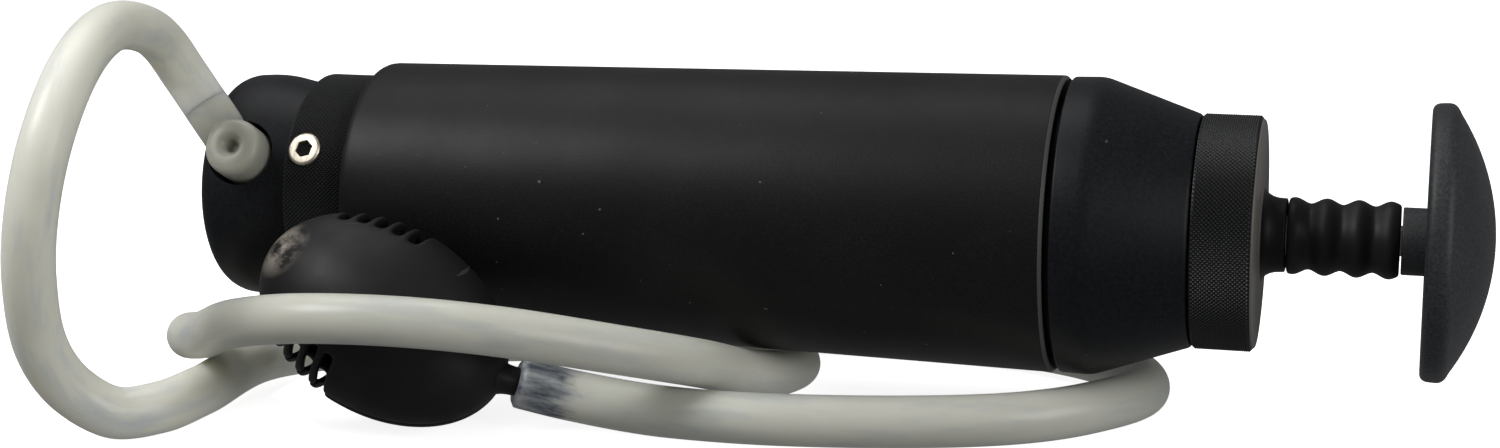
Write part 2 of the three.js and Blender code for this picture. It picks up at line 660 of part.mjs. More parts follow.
const bumperSteps = 16;
const bumperOuter = Array.from({ length: bumperSteps + 1 }, (_, i) => {
  const along = (i / bumperSteps) * bumperLength;
  const swell = (1 + Math.cos(((along - bumperFirstCrest) / bumperPitch) * 2 * Math.PI)) / 2;
  return [bumperStart + along, bumperValleyRadius + (bumperRadius - bumperValleyRadius) * swell];
});
add('rod_bumper', turned([
  [bumperStart, rodRadius + touchGap], ...bumperOuter, [bumperEnd, rodRadius + touchGap],
], 16), finishes.blackRubber);
const studSocket = handleStudRadius + touchGap;
add('handle_hub', ring(hubStart, hubEnd - touchGap, studSocket, hubRadius), finishes.blackPlastic);
const domeSteps = 6;
const rimEnd = hubEnd + knobRimThickness;
const domeRadius = knobRadius - 0.5;
const domeAngle = 2 * Math.atan(knobDomeHeight / domeRadius); // half of the sphere's angle that the dome spans
const sphereRadius = domeRadius / Math.sin(domeAngle);
const dome = Array.from({ length: domeSteps + 1 }, (_, i) => {
  const angle = (1 - i / domeSteps) * domeAngle;
  return [rimEnd + knobDomeHeight - sphereRadius * (1 - Math.cos(angle)), sphereRadius * Math.sin(angle)];
});
add('handle_knob', turned([
  [knobSocketEnd + touchGap, 0], [knobSocketEnd + touchGap, studSocket], [hubEnd, studSocket],
  [hubEnd, knobRadius - 1.8],
  ...roundCorner([hubEnd + 1.6, knobRadius - 1.6], 1.6, 180, 90, 2).slice(1),
  ...dome,
], 32), finishes.blackPlastic);

// ---- Hose ----

add('intake_hose', alongPath(hosePath, hoseRadius, hoseSides, hoseSteps), finishes.silicone);

// ---- Strainer on the hose's far end ----

const strainerCentre = new THREE.Vector3(50.8, -43.3, -17.9);
const longAxis = new THREE.Vector3(0.87, 0, -0.493).normalize();
const facing = new THREE.Vector3(0.344, -0.809, 0.476);
const thickAxis = facing.clone().addScaledVector(longAxis, -facing.dot(longAxis)).normalize();
const wideAxis = new THREE.Vector3().crossVectors(thickAxis, longAxis);
const strainerFrame = new THREE.Matrix4().makeBasis(longAxis, wideAxis, thickAxis).setPosition(strainerCentre);
const placed = (geometry) => geometry.applyMatrix4(strainerFrame);

const hoseEnd = hoseRoute[hoseRoute.length - 1];
const hoseEndDirection = hosePath.getTangent(1);
const toStrainer = (geometry) => aimed(geometry, hoseEnd, hoseEndDirection)
  .applyMatrix4(strainerFrame.clone().invert());
const egg = (grow, widthSegments, heightSegments) => new THREE.SphereGeometry(1, widthSegments, heightSegments)
  .scale(strainerLong + grow, strainerThick + grow, strainerWide + grow).rotateX(Math.PI / 2);
const slots = [-1, 1].flatMap((side) => Array.from({ length: slotCount }, (_, i) => {
  const along = slotFirst - slotPitch * i;
  return new THREE.BoxGeometry(slotWidth, slotDepth, 2 * slotHalfSpan).translate(along, side * (strainerWide - 1), 0);
}));
const shell = toSolid(egg(0, 20, 14)).subtract(toSolid(egg(-strainerWall, 16, 10)));
const spigotHole = toSolid(toStrainer(rod(touchGap - 1, strainerSpigotLength + 2, strainerSpigotRadius + 0.4, 12)));
const hollow = slots.reduce((solid, slot) => solid.subtract(toSolid(slot)), shell).subtract(spigotHole);
const half = (side) => toSolid(new THREE.BoxGeometry(80, 80, 40).translate(0, 0, side * (20 + touchGap / 2)));
add('strainer_front_shell', placed(toGeometry(hollow.intersect(half(1)))), finishes.blackRubber);
add('strainer_rear_shell', placed(toGeometry(hollow.intersect(half(-1)))), finishes.blackRubber);
add('strainer_spigot', aimed(turned([
  [touchGap, strainerSpigotBore], [touchGap, strainerSpigotRadius], [strainerSpigotLength, strainerSpigotRadius],
  [strainerSpigotLength, strainerSpigotBore],
], 16), hoseEnd, hoseEndDirection), finishes.blackPlastic);
add('strainer_screen', placed(ring(...screenEnds, screenRadius - screenThickness, screenRadius)), finishes.steel);
add('strainer_ballast', placed(rod(...ballastEnds, ballastRadius)), finishes.steel);

export default pump;
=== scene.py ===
import math

import bmesh
import bpy
import numpy as np
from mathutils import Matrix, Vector


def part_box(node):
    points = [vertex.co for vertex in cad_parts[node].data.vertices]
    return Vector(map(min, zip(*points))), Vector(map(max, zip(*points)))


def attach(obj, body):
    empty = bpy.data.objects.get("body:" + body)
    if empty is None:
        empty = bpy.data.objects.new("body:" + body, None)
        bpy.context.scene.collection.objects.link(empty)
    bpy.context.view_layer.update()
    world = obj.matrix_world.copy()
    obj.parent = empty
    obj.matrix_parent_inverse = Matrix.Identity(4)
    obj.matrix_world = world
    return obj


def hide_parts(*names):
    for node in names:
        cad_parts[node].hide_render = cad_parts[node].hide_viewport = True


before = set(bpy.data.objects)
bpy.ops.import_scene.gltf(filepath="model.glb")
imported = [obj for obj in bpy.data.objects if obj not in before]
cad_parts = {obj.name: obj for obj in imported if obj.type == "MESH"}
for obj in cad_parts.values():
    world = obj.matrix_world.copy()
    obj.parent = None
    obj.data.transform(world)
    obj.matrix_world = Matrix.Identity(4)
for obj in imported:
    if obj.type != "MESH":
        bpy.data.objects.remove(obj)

mm = 0.001
fullTurn = 2 * math.pi
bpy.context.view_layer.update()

cameraSetup = {
    "place": (0.2496, -0.4988, 0.0989), "azimuth": 15.1, "down": 11.2,  # metres and degrees
    "lens": 60.5, "sensor": 36.0, "near": 0.01, "far": 20,
}


def makeCamera():
    turn, down = math.radians(cameraSetup["azimuth"]), math.radians(cameraSetup["down"])
    looking = Vector((-math.sin(turn) * math.cos(down), math.cos(turn) * math.cos(down), -math.sin(down)))
    lens = bpy.data.cameras.new("camera")
    lens.lens, lens.sensor_width = cameraSetup["lens"], cameraSetup["sensor"]
    lens.clip_start, lens.clip_end = cameraSetup["near"], cameraSetup["far"]
    camera = bpy.data.objects.new("camera", lens)
    camera.location = cameraSetup["place"]
    camera.rotation_euler = looking.to_track_quat("-Z", "Y").to_euler()
    bpy.context.scene.collection.objects.link(camera)
    bpy.context.scene.camera = camera


makeCamera()
print("stage: camera")


# Adds a node to a material, with its fields, and joins or sets its sockets
def addNode(tree, kind, fields=None, sockets=None):
    node = tree.nodes.new(kind)
    for field, value in (fields or {}).items():
        setattr(node, field, value)
    for socket, value in (sockets or {}).items():
        if isinstance(value, bpy.types.NodeSocket):
            tree.links.new(value, node.inputs[socket])
        else:
            node.inputs[socket].default_value = value
    return node


# A material whose even settings sit on its shader's own sockets
def startFinish(name, settings):
    material = bpy.data.materials.new(name)
    material.use_nodes = True
    tree = material.node_tree
    shader = tree.nodes["Principled BSDF"]
    for socket, value in settings.items():
        shader.inputs[socket].default_value = value
    return material, tree, shader


# A place turned and stretched for a pattern
def mapped(tree, place, stretch, turn=(0, 0, 0)):
    sockets = {"Vector": place, "Rotation": turn, "Scale": stretch}
    return addNode(tree, "ShaderNodeMapping", None, sockets).outputs["Vector"]


# Object coordinates, stretched
def objectPlace(tree, stretch=(1, 1, 1)):
    return mapped(tree, addNode(tree, "ShaderNodeTexCoord").outputs["Object"], stretch)


# A value kept on the points of the piece itself
def pieceValue(tree, name, output="Fac"):
    return addNode(tree, "ShaderNodeAttribute", {"attribute_name": name}).outputs[output]


def noise(tree, place, scale, detail, roughness=0.55):
    settings = {"Vector": place, "Scale": scale, "Detail": detail, "Roughness": roughness}
    return addNode(tree, "ShaderNodeTexNoise", None, settings).outputs["Fac"]


# A ramp between colours or grey levels, from {position: colour}
def ramp(tree, factor, stops):
    node = addNode(tree, "ShaderNodeValToRGB", None, {"Fac": factor})
    places = sorted(stops)
    while len(node.color_ramp.elements) < len(places):
        node.color_ramp.elements.new(0.5)
    for element, position in zip(node.color_ramp.elements, places):
        colour = stops[position]
        element.position = position
        element.color = (*colour, 1) if isinstance(colour, tuple) else (colour, colour, colour, 1)
    return node.outputs["Color"]


def mixColours(tree, factor, first, second, how="MIX"):
    node = addNode(tree, "ShaderNodeMix", {"data_type": "RGBA", "blend_type": how})
    for socket, value in ((0, factor), (6, first), (7, second)):
        if isinstance(value, bpy.types.NodeSocket):
            tree.links.new(value, node.inputs[socket])
        else:
            node.inputs[socket].default_value = (*value, 1) if isinstance(value, tuple) else value
    return node.outputs[2]


def bump(tree, height, strength, distance):
    sockets = {"Height": height, "Strength": strength, "Distance": distance}
    return addNode(tree, "ShaderNodeBump", None, sockets).outputs["Normal"]


# One sum, such as MULTIPLY, of numbers or other nodes' outputs
def maths(tree, operation, *values):
    return addNode(tree, "ShaderNodeMath", {"operation": operation}, dict(enumerate(values))).outputs[0]


# How far a place is from a spot, as a share of a reach. The spot and the reach are in millimetres.
def shareOfReach(tree, place, spot, reach):
    away = addNode(tree, "ShaderNodeVectorMath", {"operation": "DISTANCE"}, {
        0: place, 1: [value * mm for value in spot]}).outputs["Value"]
    return maths(tree, "DIVIDE", away, reach * mm)


# Joins a finish's colour, its roughness, which falls while a pattern rises between two stops, and its relief
def joinFinish(tree, shader, colour, pattern, stops, rough, relief):
    low, high = rough
    tree.links.new(colour, shader.inputs["Base Color"])
    tree.links.new(ramp(tree, pattern, {stops[0]: high, stops[1]: low}), shader.inputs["Roughness"])
    tree.links.new(relief, shader.inputs["Normal"])


# The strainer's centre, its long axis, the way it faces and its half length, width and thickness. Its finish
# needs them too.
strainerSetup = {
    "centre": (50.8, -43.3, -17.9), "along": (0.87, 0, -0.493), "facing": (0.344, -0.809, 0.476),
    "half": (27.3, 19.4, 15.0), "wall": 1.8, "seam": 0.35,
    "slotFirst": -2.4, "slotPitch": 3.7, "slotWidth": 2.2, "slots": 5, "slotReach": 42.0,
    "frontRows": (0, 7, 14, 22, 31, 41, 52, 63, 73, 82, 90), "rearRows": (141, 151, 160, 168, 174, 180),
    "slotColumns": 4, "middleColumns": 11,
    "spigotEnd": -16, "spigotTip": 2.2, "spigot": 3.0, "spigotRoot": 4.6, "spigotLength": 22,
}


# Turns the strainer's own axes (long, wide, thick) into the pump's
def strainerPlace(points):
    along = np.array(strainerSetup["along"]) / np.linalg.norm(strainerSetup["along"])
    facing = np.array(strainerSetup["facing"])
    thick = facing - along * facing.dot(along)
    thick /= np.linalg.norm(thick)
    turn = np.stack([along, np.cross(thick, along), thick])
    return points @ turn + np.array(strainerSetup["centre"])


# A pattern's number is the scale of its noise. Depths are in metres, a painted highlight band's width in
# millimetres.
coatSettings = {
    "dark": (0.0042, 0.0042, 0.0043), "light": (0.0078, 0.0078, 0.008), "blotches": 38,
    "grain": 2600, "grainDepth": 0.00004, "grainTone": (0.5, 1.6), "rough": (0.44, 0.52), "specular": 0.2,
    "speck": (0.12, 0.12, 0.115), "specks": 620, "highlightBand": (0.07, 0.07, 0.068), "highlightBandWidth": 0.7,
}
mouldSettings = dict(
    coatSettings, dark=(0.0042, 0.0048, 0.0062), light=(0.0072, 0.0082, 0.0104), grain=1500,
    grainDepth=0.00001, rough=(0.4, 0.5), speck=(0.06, 0.06, 0.06), specular=0.19)
handleSettings = dict(
    coatSettings, dark=(0.018, 0.0192, 0.021), light=(0.03, 0.0315, 0.034), grain=1800,
    grainDepth=0.00001, rough=(0.48, 0.58), speck=(0.1, 0.1, 0.1), specular=0.4)


# Fine-grained black coating, with faint blotches and a few specks of dust. A painted highlight is a narrow
# pale band about one station, in millimetres.
def coatedFinish(name, settings, highlightBandAt=None):
    material, tree, shader = startFinish(name, {"Specular IOR Level": settings["specular"]})
    place = objectPlace(tree)
    blotches = noise(tree, place, settings["blotches"], 5, 0.6)
    grain = noise(tree, place, settings["grain"], 2, 0.5)
    grainLow, grainHigh = settings["grainTone"]
    tone = ramp(tree, blotches, {0.35: settings["dark"], 0.7: settings["light"]})
    tone = mixColours(tree, 1.0, tone, ramp(tree, grain, {0.3: grainLow, 0.75: grainHigh}), "MULTIPLY")
    specks = ramp(tree, noise(tree, place, settings["specks"], 1, 0.4), {0.8: 0.0, 0.83: 1.0})
    tone = mixColours(tree, specks, tone, settings["speck"])
    # Painted highlight: a narrow pale band where a chamfer or a flat face catches the light
    if highlightBandAt is not None:
        station = addNode(tree, "ShaderNodeSeparateXYZ", None, {0: place}).outputs[0]
        band = maths(tree, "COMPARE", station, highlightBandAt * mm, settings["highlightBandWidth"] / 2 * mm)
        tone = mixColours(tree, band, tone, settings["highlightBand"])
    relief = bump(tree, grain, 0.5, settings["grainDepth"])
    joinFinish(tree, shader, tone, blotches, (0.3, 0.75), settings["rough"], relief)
    return material


knurlSettings = {"valley": (0.0012, 0.0013, 0.0015), "peak": (0.036, 0.0375, 0.039),
                 "wear": 160, "wearTone": (0.55, 0.85), "rough": 0.42, "specular": 0.3}


# Black knurled metal, paler towards the diamonds' points: partly rubbed wear and partly painted highlight
def knurledFinish():
    material, tree, shader = startFinish("knurledBlack", {
        "Roughness": knurlSettings["rough"], "Specular IOR Level": knurlSettings["specular"]})
    wearLow, wearHigh = knurlSettings["wearTone"]
    rubbing = noise(tree, objectPlace(tree), knurlSettings["wear"], 4, 0.65)
    wear = ramp(tree, rubbing, {0.2: wearLow, 0.8: wearHigh})
    # Rubbed wear and painted highlight: the points are painted paler than the valleys
    wornAndLit = maths(tree, "MULTIPLY", pieceValue(tree, "knurlHeight"), wear)
    tone = ramp(tree, wornAndLit, {0.0: knurlSettings["valley"], 0.75: knurlSettings["peak"]})
    tree.links.new(tone, shader.inputs["Base Color"])
    return material


rubberSettings = {"dark": (0.0052, 0.0052, 0.0056), "light": (0.0105, 0.0105, 0.011), "bloom": 90,
                  "grain": 1400, "grainDepth": 0.00002, "rough": (0.45, 0.62), "specular": 0.25}


# Black rubber with a dull bloom
def rubberFinish():
    material, tree, shader = startFinish("bumperRubber", {"Specular IOR Level": rubberSettings["specular"]})
    place = objectPlace(tree)
    bloom = noise(tree, place, rubberSettings["bloom"], 5, 0.62)
    tone = ramp(tree, bloom, {0.35: rubberSettings["dark"], 0.72: rubberSettings["light"]})
    relief = bump(tree, noise(tree, place, rubberSettings["grain"], 2), 0.35, rubberSettings["grainDepth"])
    joinFinish(tree, shader, tone, bloom, (0.3, 0.7), rubberSettings["rough"], relief)
    return material


strainerSettings = {
    "dark": (0.0045, 0.0045, 0.005), "light": (0.011, 0.0107, 0.01), "smears": 46, "rough": (0.42, 0.6),
    "grain": 900, "grainDepth": 0.00003, "specular": 0.28,
    "scratch": (0.06, 0.058, 0.053), "scratchTurn": (0.3, 0.55, 0.2), "scratchStretch": (60, 60, 900),
    # A painted highlight near one end of the strainer, broken into spots by noise
    "patches": 85, "spottyHighlight": (0.55, 0.49, 0.42), "highlightSpots": 110, "highlightSpotStretch": (1.6, 1.0, 3.0),
    "highlightAt": (-24.0, -0.6, 7.0), "highlightReach": 7.0,  # millimetres, on the strainer's axes
}


# Rubber moulding that has been handled: soft smears, hair-thin scratches, and a spotty painted highlight at
# one end
def strainerFinish():
    settings = strainerSettings
    material, tree, shader = startFinish("strainerRubber", {"Specular IOR Level": settings["specular"]})
    place = objectPlace(tree, (1.0, 1.0, 1.4))
    smears = noise(tree, place, settings["smears"], 6, 0.62)
    tone = ramp(tree, smears, {0.42: settings["dark"], 0.74: settings["light"]})
    turned = mapped(tree, objectPlace(tree), settings["scratchStretch"], settings["scratchTurn"])
    lines = ramp(tree, noise(tree, turned, 1.0, 2, 0.5), {0.71: 0.0, 0.74: 1.0})
    patches = ramp(tree, noise(tree, place, settings["patches"], 2), {0.5: 0.0, 0.62: 0.55})
    tone = mixColours(tree, maths(tree, "MULTIPLY", lines, patches), tone, settings["scratch"])
    # Painted highlight: a pale spotted patch that fades out from one spot near the strainer's upper end
    highlightPlace = strainerPlace(np.array(settings["highlightAt"]))
    near = shareOfReach(tree, objectPlace(tree), highlightPlace, settings["highlightReach"])
    spots = noise(tree, objectPlace(tree, settings["highlightSpotStretch"]), settings["highlightSpots"], 5, 0.65)
    near, spots = ramp(tree, near, {0.15: 0.85, 1.0: 0.0}), ramp(tree, spots, {0.36: 0.0, 0.55: 1.0})
    highlightMask = maths(tree, "MULTIPLY", near, spots)
    tone = mixColours(tree, highlightMask, tone, settings["spottyHighlight"])
    relief = bump(tree, noise(tree, place, settings["grain"], 3), 0.3, settings["grainDepth"])
    joinFinish(tree, shader, tone, smears, (0.4, 0.7), settings["rough"], relief)
    return material


siliconeSettings = {
    "clear": (0.78, 0.78, 0.69), "milky": (0.9, 0.89, 0.8), "drift": 30, "streak": (0.56, 0.61, 0.64),
    # The dark grey mixed into the hose is painted shade
    "cloud": 190, "cloudStretch": (0.22, 1.0, 1.0), "cloudDepth": 0.00012, "paintedShade": (0.2, 0.21, 0.19),
    # The elbow's painted shade, strongest near its root in the foot's recess
    "elbowShade": (0.42, 0.42, 0.4), "elbowAt": (9.3, -21, 11), "elbowReach": 17.0,  # millimetres
    "stained": (0.09, 0.105, 0.13), "frosted": (0.5, 0.52, 0.53), "frost": 300, "ragged": 420,
    "stainLength": 0.0135, "rough": 0.34, "specular": 0.35,
    "milkiness": 0.85, "depth": 0.0065, "depthColours": (1.0, 0.95, 0.8),
}


# Painted shade along the hose, stronger on some stretches, and a dark stain with a ragged edge where its end
# covers the barb
def hoseShadeAndStain(tree, tone, stretched):
    # Painted shade: stretches of the hose are mixed towards a dark grey
    tone = mixColours(tree, pieceValue(tree, "clean"), siliconeSettings["paintedShade"], tone)
    share = maths(tree, "DIVIDE", pieceValue(tree, "fromEnd"), siliconeSettings["stainLength"])
    edge = noise(tree, stretched, siliconeSettings["ragged"], 4, 0.6)
    ragged = maths(tree, "MULTIPLY", maths(tree, "MULTIPLY_ADD", edge, 1.5, share), 0.5)
    mask = ramp(tree, ragged, {0.68: 1.0, 0.9: 0.0})
    frost = noise(tree, stretched, siliconeSettings["frost"], 5, 0.65)
    patches = ramp(tree, frost, {0.38: siliconeSettings["stained"], 0.64: siliconeSettings["frosted"]})
    return mixColours(tree, mask, tone, patches)


# Milky silicone. On the hose a stretched pattern follows the bore, and the elbow has painted shade that
# darkens it towards its root in the foot's recess
def siliconeFinish(name, alongHose):
    material, tree, shader = startFinish(name, {
        "Roughness": siliconeSettings["rough"], "Specular IOR Level": siliconeSettings["specular"],
        "Subsurface Weight": siliconeSettings["milkiness"], "Subsurface Scale": siliconeSettings["depth"],
        "Subsurface Radius": siliconeSettings["depthColours"]})
    space = pieceValue(tree, "hoseSpace", "Vector") if alongHose else objectPlace(tree)
    stretched = mapped(tree, space, siliconeSettings["cloudStretch"])
    cloud = noise(tree, stretched, siliconeSettings["cloud"], 5, 0.6)
    drift = noise(tree, space, siliconeSettings["drift"], 3, 0.5)
    tone = ramp(tree, drift, {0.35: siliconeSettings["milky"], 0.68: siliconeSettings["clear"]})
    tone = mixColours(tree, ramp(tree, cloud, {0.52: 0.0, 0.74: 0.62}), tone, siliconeSettings["streak"])
    if alongHose:
        tone = hoseShadeAndStain(tree, tone, stretched)
    else:
        # Painted shade: the elbow's colour is darkened near its root
        near = shareOfReach(tree, space, siliconeSettings["elbowAt"], siliconeSettings["elbowReach"])
        shade = ramp(tree, near, {0.3: siliconeSettings["elbowShade"], 1.0: (1.0, 1.0, 1.0)})
        tone = mixColours(tree, 1.0, tone, shade, "MULTIPLY")
    tree.links.new(tone, shader.inputs["Base Color"])
    tree.links.new(bump(tree, cloud, 0.12, siliconeSettings["cloudDepth"]), shader.inputs["Normal"])
    return material


metalSettings = {
    "paleMetal": {"colour": (0.72, 0.66, 0.56), "shade": (0.56, 0.5, 0.41), "rough": (0.4, 0.52)},
    "turnedSteel": {"colour": (0.62, 0.62, 0.6), "shade": (0.42, 0.42, 0.41), "rough": (0.2, 0.36)},
    "springSteel": {"colour": (0.5, 0.5, 0.49), "shade": (0.34, 0.34, 0.33), "rough": (0.25, 0.4)},
}
toolMarks = {"scale": 420, "stretch": (9.0, 0.5, 0.5), "depth": 0.00002}


# Turned metal: tool marks run round the X axis as fine stretched noise
def metalFinish(name):
    settings = metalSettings[name]
    material, tree, shader = startFinish(name, {"Metallic": 1.0})
    marks = noise(tree, objectPlace(tree, toolMarks["stretch"]), toolMarks["scale"], 4, 0.6)
    tone = ramp(tree, marks, {0.3: settings["shade"], 0.7: settings["colour"]})
    relief = bump(tree, marks, 0.15, toolMarks["depth"])
    joinFinish(tree, shader, tone, marks, (0.3, 0.7), settings["rough"], relief)
    return material


plainSettings = {
    "chalkCeramic": {"cloud": 300, "dark": (0.72, 0.68, 0.58), "light": (0.86, 0.83, 0.74),
                     "rough": (0.8, 0.92)},
    "greyPlastic": {"cloud": 120, "dark": (0.22, 0.24, 0.26), "light": (0.3, 0.325, 0.35),
                    "rough": (0.42, 0.52)},
    "greasedRubber": {"cloud": 200, "dark": (0.009, 0.009, 0.01), "light": (0.02, 0.02, 0.022),
                      "rough": (0.22, 0.45)},
}
plainGloss = {"specular": 0.45, "depth": 0.00004}


# A dull solid with two tones and a matching change of gloss
def plainFinish(name):
    settings = plainSettings[name]
    material, tree, shader = startFinish(name, {"Specular IOR Level": plainGloss["specular"]})
    cloud = noise(tree, objectPlace(tree), settings["cloud"], 5, 0.6)
    tone = ramp(tree, cloud, {0.35: settings["dark"], 0.68: settings["light"]})
    relief = bump(tree, cloud, 0.2, plainGloss["depth"])
    joinFinish(tree, shader, tone, cloud, (0.3, 0.7), settings["rough"], relief)
    return material


finishes = {
    # The housing gets a painted highlight as a pale band along the chamfer at its head end
    "coat": coatedFinish("coatedBlack", coatSettings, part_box("housing_tube")[1].x / mm - 0.4),
    "head": coatedFinish("headBlack", mouldSettings),
    "foot": coatedFinish("footBlack", mouldSettings),
    "handle": coatedFinish("handleBlack", handleSettings),
    "knurl": knurledFinish(),
    "bumper": rubberFinish(),
    "strainer": strainerFinish(),
    "hose": siliconeFinish("hoseSilicone", True),
    "elbow": siliconeFinish("elbowSilicone", False),
    "pale": metalFinish("paleMetal"),
    "steel": metalFinish("turnedSteel"),
    "spring": metalFinish("springSteel"),
    "ceramic": plainFinish("chalkCeramic"),
    "plastic": plainFinish("greyPlastic"),
    "seal": plainFinish("greasedRubber"),
}
print("stage: finishes")


# Shapes are worked out in millimetres. A grid's faces are quads between neighbouring rows and columns,
# and a closed grid joins the last column to the first.
def gridFaces(rows, columns, closed=True):
    row = np.arange(rows - 1)[:, None]
    column = np.arange(columns if closed else columns - 1)[None, :]
    beside = (column + 1) % columns
    here, ahead = row * columns, (row + 1) * columns
    quads = [here + column, here + beside, ahead + beside, ahead + column]
    return np.stack(np.broadcast_arrays(*quads), -1).reshape(-1, 4)


# A profile of (station, radius) turned round the X axis: (x, r cos a, r sin a).
# A ring's profile ends where it began.
def turnedSurface(profile, sides):
    station, radius = np.asarray(profile, float).T
    angle = np.linspace(0, fullTurn, sides, endpoint=False)
    points = np.stack([np.tile(station[:, None], sides), np.outer(radius, np.cos(angle)),
                       np.outer(radius, np.sin(angle))], -1)
    return points.reshape(-1, 3), gridFaces(len(station), sides)


# Corners (station, radius, rounding) become a smooth line: each rounded corner is a
# quadratic curve between the points one rounding before it and one after it
def softProfile(corners, steps=6, closed=False):
    spots = [np.array(corner[:2], float) for corner in corners]
    share = np.linspace(0, 1, steps + 1)[:, None]
    line = []
    for i, corner in enumerate(corners):
        rounding = corner[2] if len(corner) > 2 else 0
        atEnd = not closed and i in (0, len(corners) - 1)
        if rounding and not atEnd:
            back, ahead = spots[i - 1] - spots[i], spots[(i + 1) % len(spots)] - spots[i]
            start = spots[i] + back / np.linalg.norm(back) * rounding
            end = spots[i] + ahead / np.linalg.norm(ahead) * rounding
            line.append((1 - share) ** 2 * start + 2 * share * (1 - share) * spots[i] + share ** 2 * end)
        else:
            line.append(spots[i][None])
    if closed:
        line.append(line[0][:1])
    return np.concatenate(line)


# A shape made along the X axis is turned to a direction and moved to a point
def aimed(surface, point, direction):
    turn = np.array(Vector((1, 0, 0)).rotation_difference(Vector(direction)).to_matrix())
    return surface[0] @ turn.T + np.array(point), surface[1]


# A thread: each point's radius drops by a rounded saw of (station / pitch - angle / full turn)
def threadedSurface(start, end, radius, pitch, depth, inner, sides=96):
    station = np.arange(start, end, pitch / 6)
    angle = np.linspace(0, fullTurn, sides, endpoint=False)
    phase = station[:, None] / pitch - angle[None, :] / fullTurn
    wave = 0.5 + 0.5 * np.cos(fullTurn * phase)
    outer = radius - depth * wave ** 0.7
    rows = np.concatenate([np.full((1, sides), inner), outer, np.full((2, sides), inner)])
    stations = np.concatenate([station[:1], station, station[-1:], station[:1]])[:, None] * np.ones(sides)
    points = np.stack([stations, rows * np.cos(angle), rows * np.sin(angle)], -1)
    return points.reshape(-1, 3), gridFaces(len(stations), sides)


# Smooth faces, with edges kept sharp past an angle in degrees if one is given
def smoothFaces(mesh, sharpAngle=None):
    mesh.polygons.foreach_set("use_smooth", np.ones(len(mesh.polygons), bool))
    if sharpAngle is not None:
        mesh.set_sharp_from_angle(angle=math.radians(sharpAngle))


def meshPoints(mesh):
    points = np.zeros(len(mesh.vertices) * 3)
    mesh.vertices.foreach_get("co", points)
    return points.reshape(-1, 3) / mm


# Keeps one number for each point of a mesh, for its finish to read
def keepValues(mesh, name, values):
    mesh.attributes.new(name, "FLOAT", "POINT").data.foreach_set("value", values)


# Puts surfaces into one mesh, closes seams and poles and turns the faces outwards
def makeMesh(name, surfaces, sharpAngle=34, flat=False):
    points, faces, count = [], [], 0
    for surface in surfaces:
        points.append(surface[0])
        faces += (surface[1] + count).tolist()
        count += len(surface[0])
    mesh = bpy.data.meshes.new(name)
    mesh.from_pydata((np.concatenate(points) * mm).tolist(), [], faces)
    shape = bmesh.new()
    shape.from_mesh(mesh)
    bmesh.ops.remove_doubles(shape, verts=shape.verts, dist=1e-6)
    bmesh.ops.recalc_face_normals(shape, faces=shape.faces)
    shape.to_mesh(mesh)
    shape.free()
    if not flat:
        smoothFaces(mesh, sharpAngle)
    return mesh


# A mesh becomes a piece of the pump: it gets its finish and its body, and the CAD nodes it stands for are
# hidden
def makePiece(mesh, body, finish, standsFor=()):
    mesh.materials.clear()
    mesh.materials.append(finishes[finish])
    piece = bpy.data.objects.new(mesh.name, mesh)
    bpy.context.scene.collection.objects.link(piece)
    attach(piece, body)
    if standsFor:
        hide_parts(*standsFor)
    return piece


# A line of stations and radii turned round the pump's axis becomes a piece
def makeTurned(name, profile, sides, sharpAngle, body, finish, node):
    makePiece(makeMesh(name, [turnedSurface(profile, sides)], sharpAngle), body, finish, [node])


# Applies modifiers, given as (kind, fields), and returns the finished mesh
def finishedMesh(mesh, modifiers):
    holder = bpy.data.objects.new("holder", mesh)
    bpy.context.scene.collection.objects.link(holder)
    for kind, fields in modifiers:
        modifier = holder.modifiers.new(kind.lower(), kind)
        for field, value in fields.items():
            setattr(modifier, field, value)
    bpy.context.view_layer.update()
    made = bpy.data.meshes.new_from_object(holder.evaluated_get(bpy.context.evaluated_depsgraph_get()))
    name = mesh.name
    bpy.data.objects.remove(holder)
    bpy.data.meshes.remove(mesh)
    made.name = name
    return made


hoseSetup = {
    "radius": 5.0, "sides": 40, "stepsPerStretch": 16, "endRound": 1.0, "sideways": (0.3, 1.0, 0.2),
    # share of the radius at shares of the length, where the hose is stretched or pressed
    "swellAt": (0.0, 0.1, 0.18, 0.26, 0.33, 0.5, 0.66, 0.8, 1.0),
    "swell": (0.98, 1.0, 1.05, 0.99, 0.98, 0.97, 1.0, 1.04, 1.03),
    # how much of the silicone's own tone is kept against a painted shade, at shares of the length
    "cleanAt": (0.0, 0.26, 0.37, 0.54, 0.6, 0.7, 0.8, 1.0),
    "clean": (1.0, 1.0, 0.66, 0.62, 0.95, 0.8, 0.6, 0.6),
}
hoseRoute = [
    (0.5, -18, 19.7), (-4, -18, 26), (-5.5, -24, 33.3), (-3.5, -37, 38.3), (-1, -55, 40.2), (2, -74, 34.7),
    (2, -85, 23), (0, -88, 10.1), (-3.5, -84.5, -4.2), (-6, -77, -19.8), (-4, -70, -29.6),
    (2, -65, -34.9), (8, -58.5, -35.2), (10, -44, -35.3), (11, -14, -35.3),
    (30, 3, -35.3), (103, 24, -35.3), (122.5, 11, -35.2), (121.5, -3.5, -34.2),
    (118, -16, -31.1), (113, -30.5, -26), (101, -45, -20.6), (82, -60, -14.6), (64.5, -67, -12.1),
    (44, -67.5, -12.6), (26, -59, -16.6), (10.5, -42, -23.8), (-2.5, -22, -29.5), (4, 3, -34),
    (24, 23, -35.3), (70, 36, -35.3), (150, 43, -35.3), (186, 29, -35.3), (197, 8, -35.3),
    (188, -10, -35.3), (172, -23, -35.3), (134, -34, -35.3), (106, -34.5, -35.3), (87, -35.5, -33),
    (77.5, -40, -29.8),
]


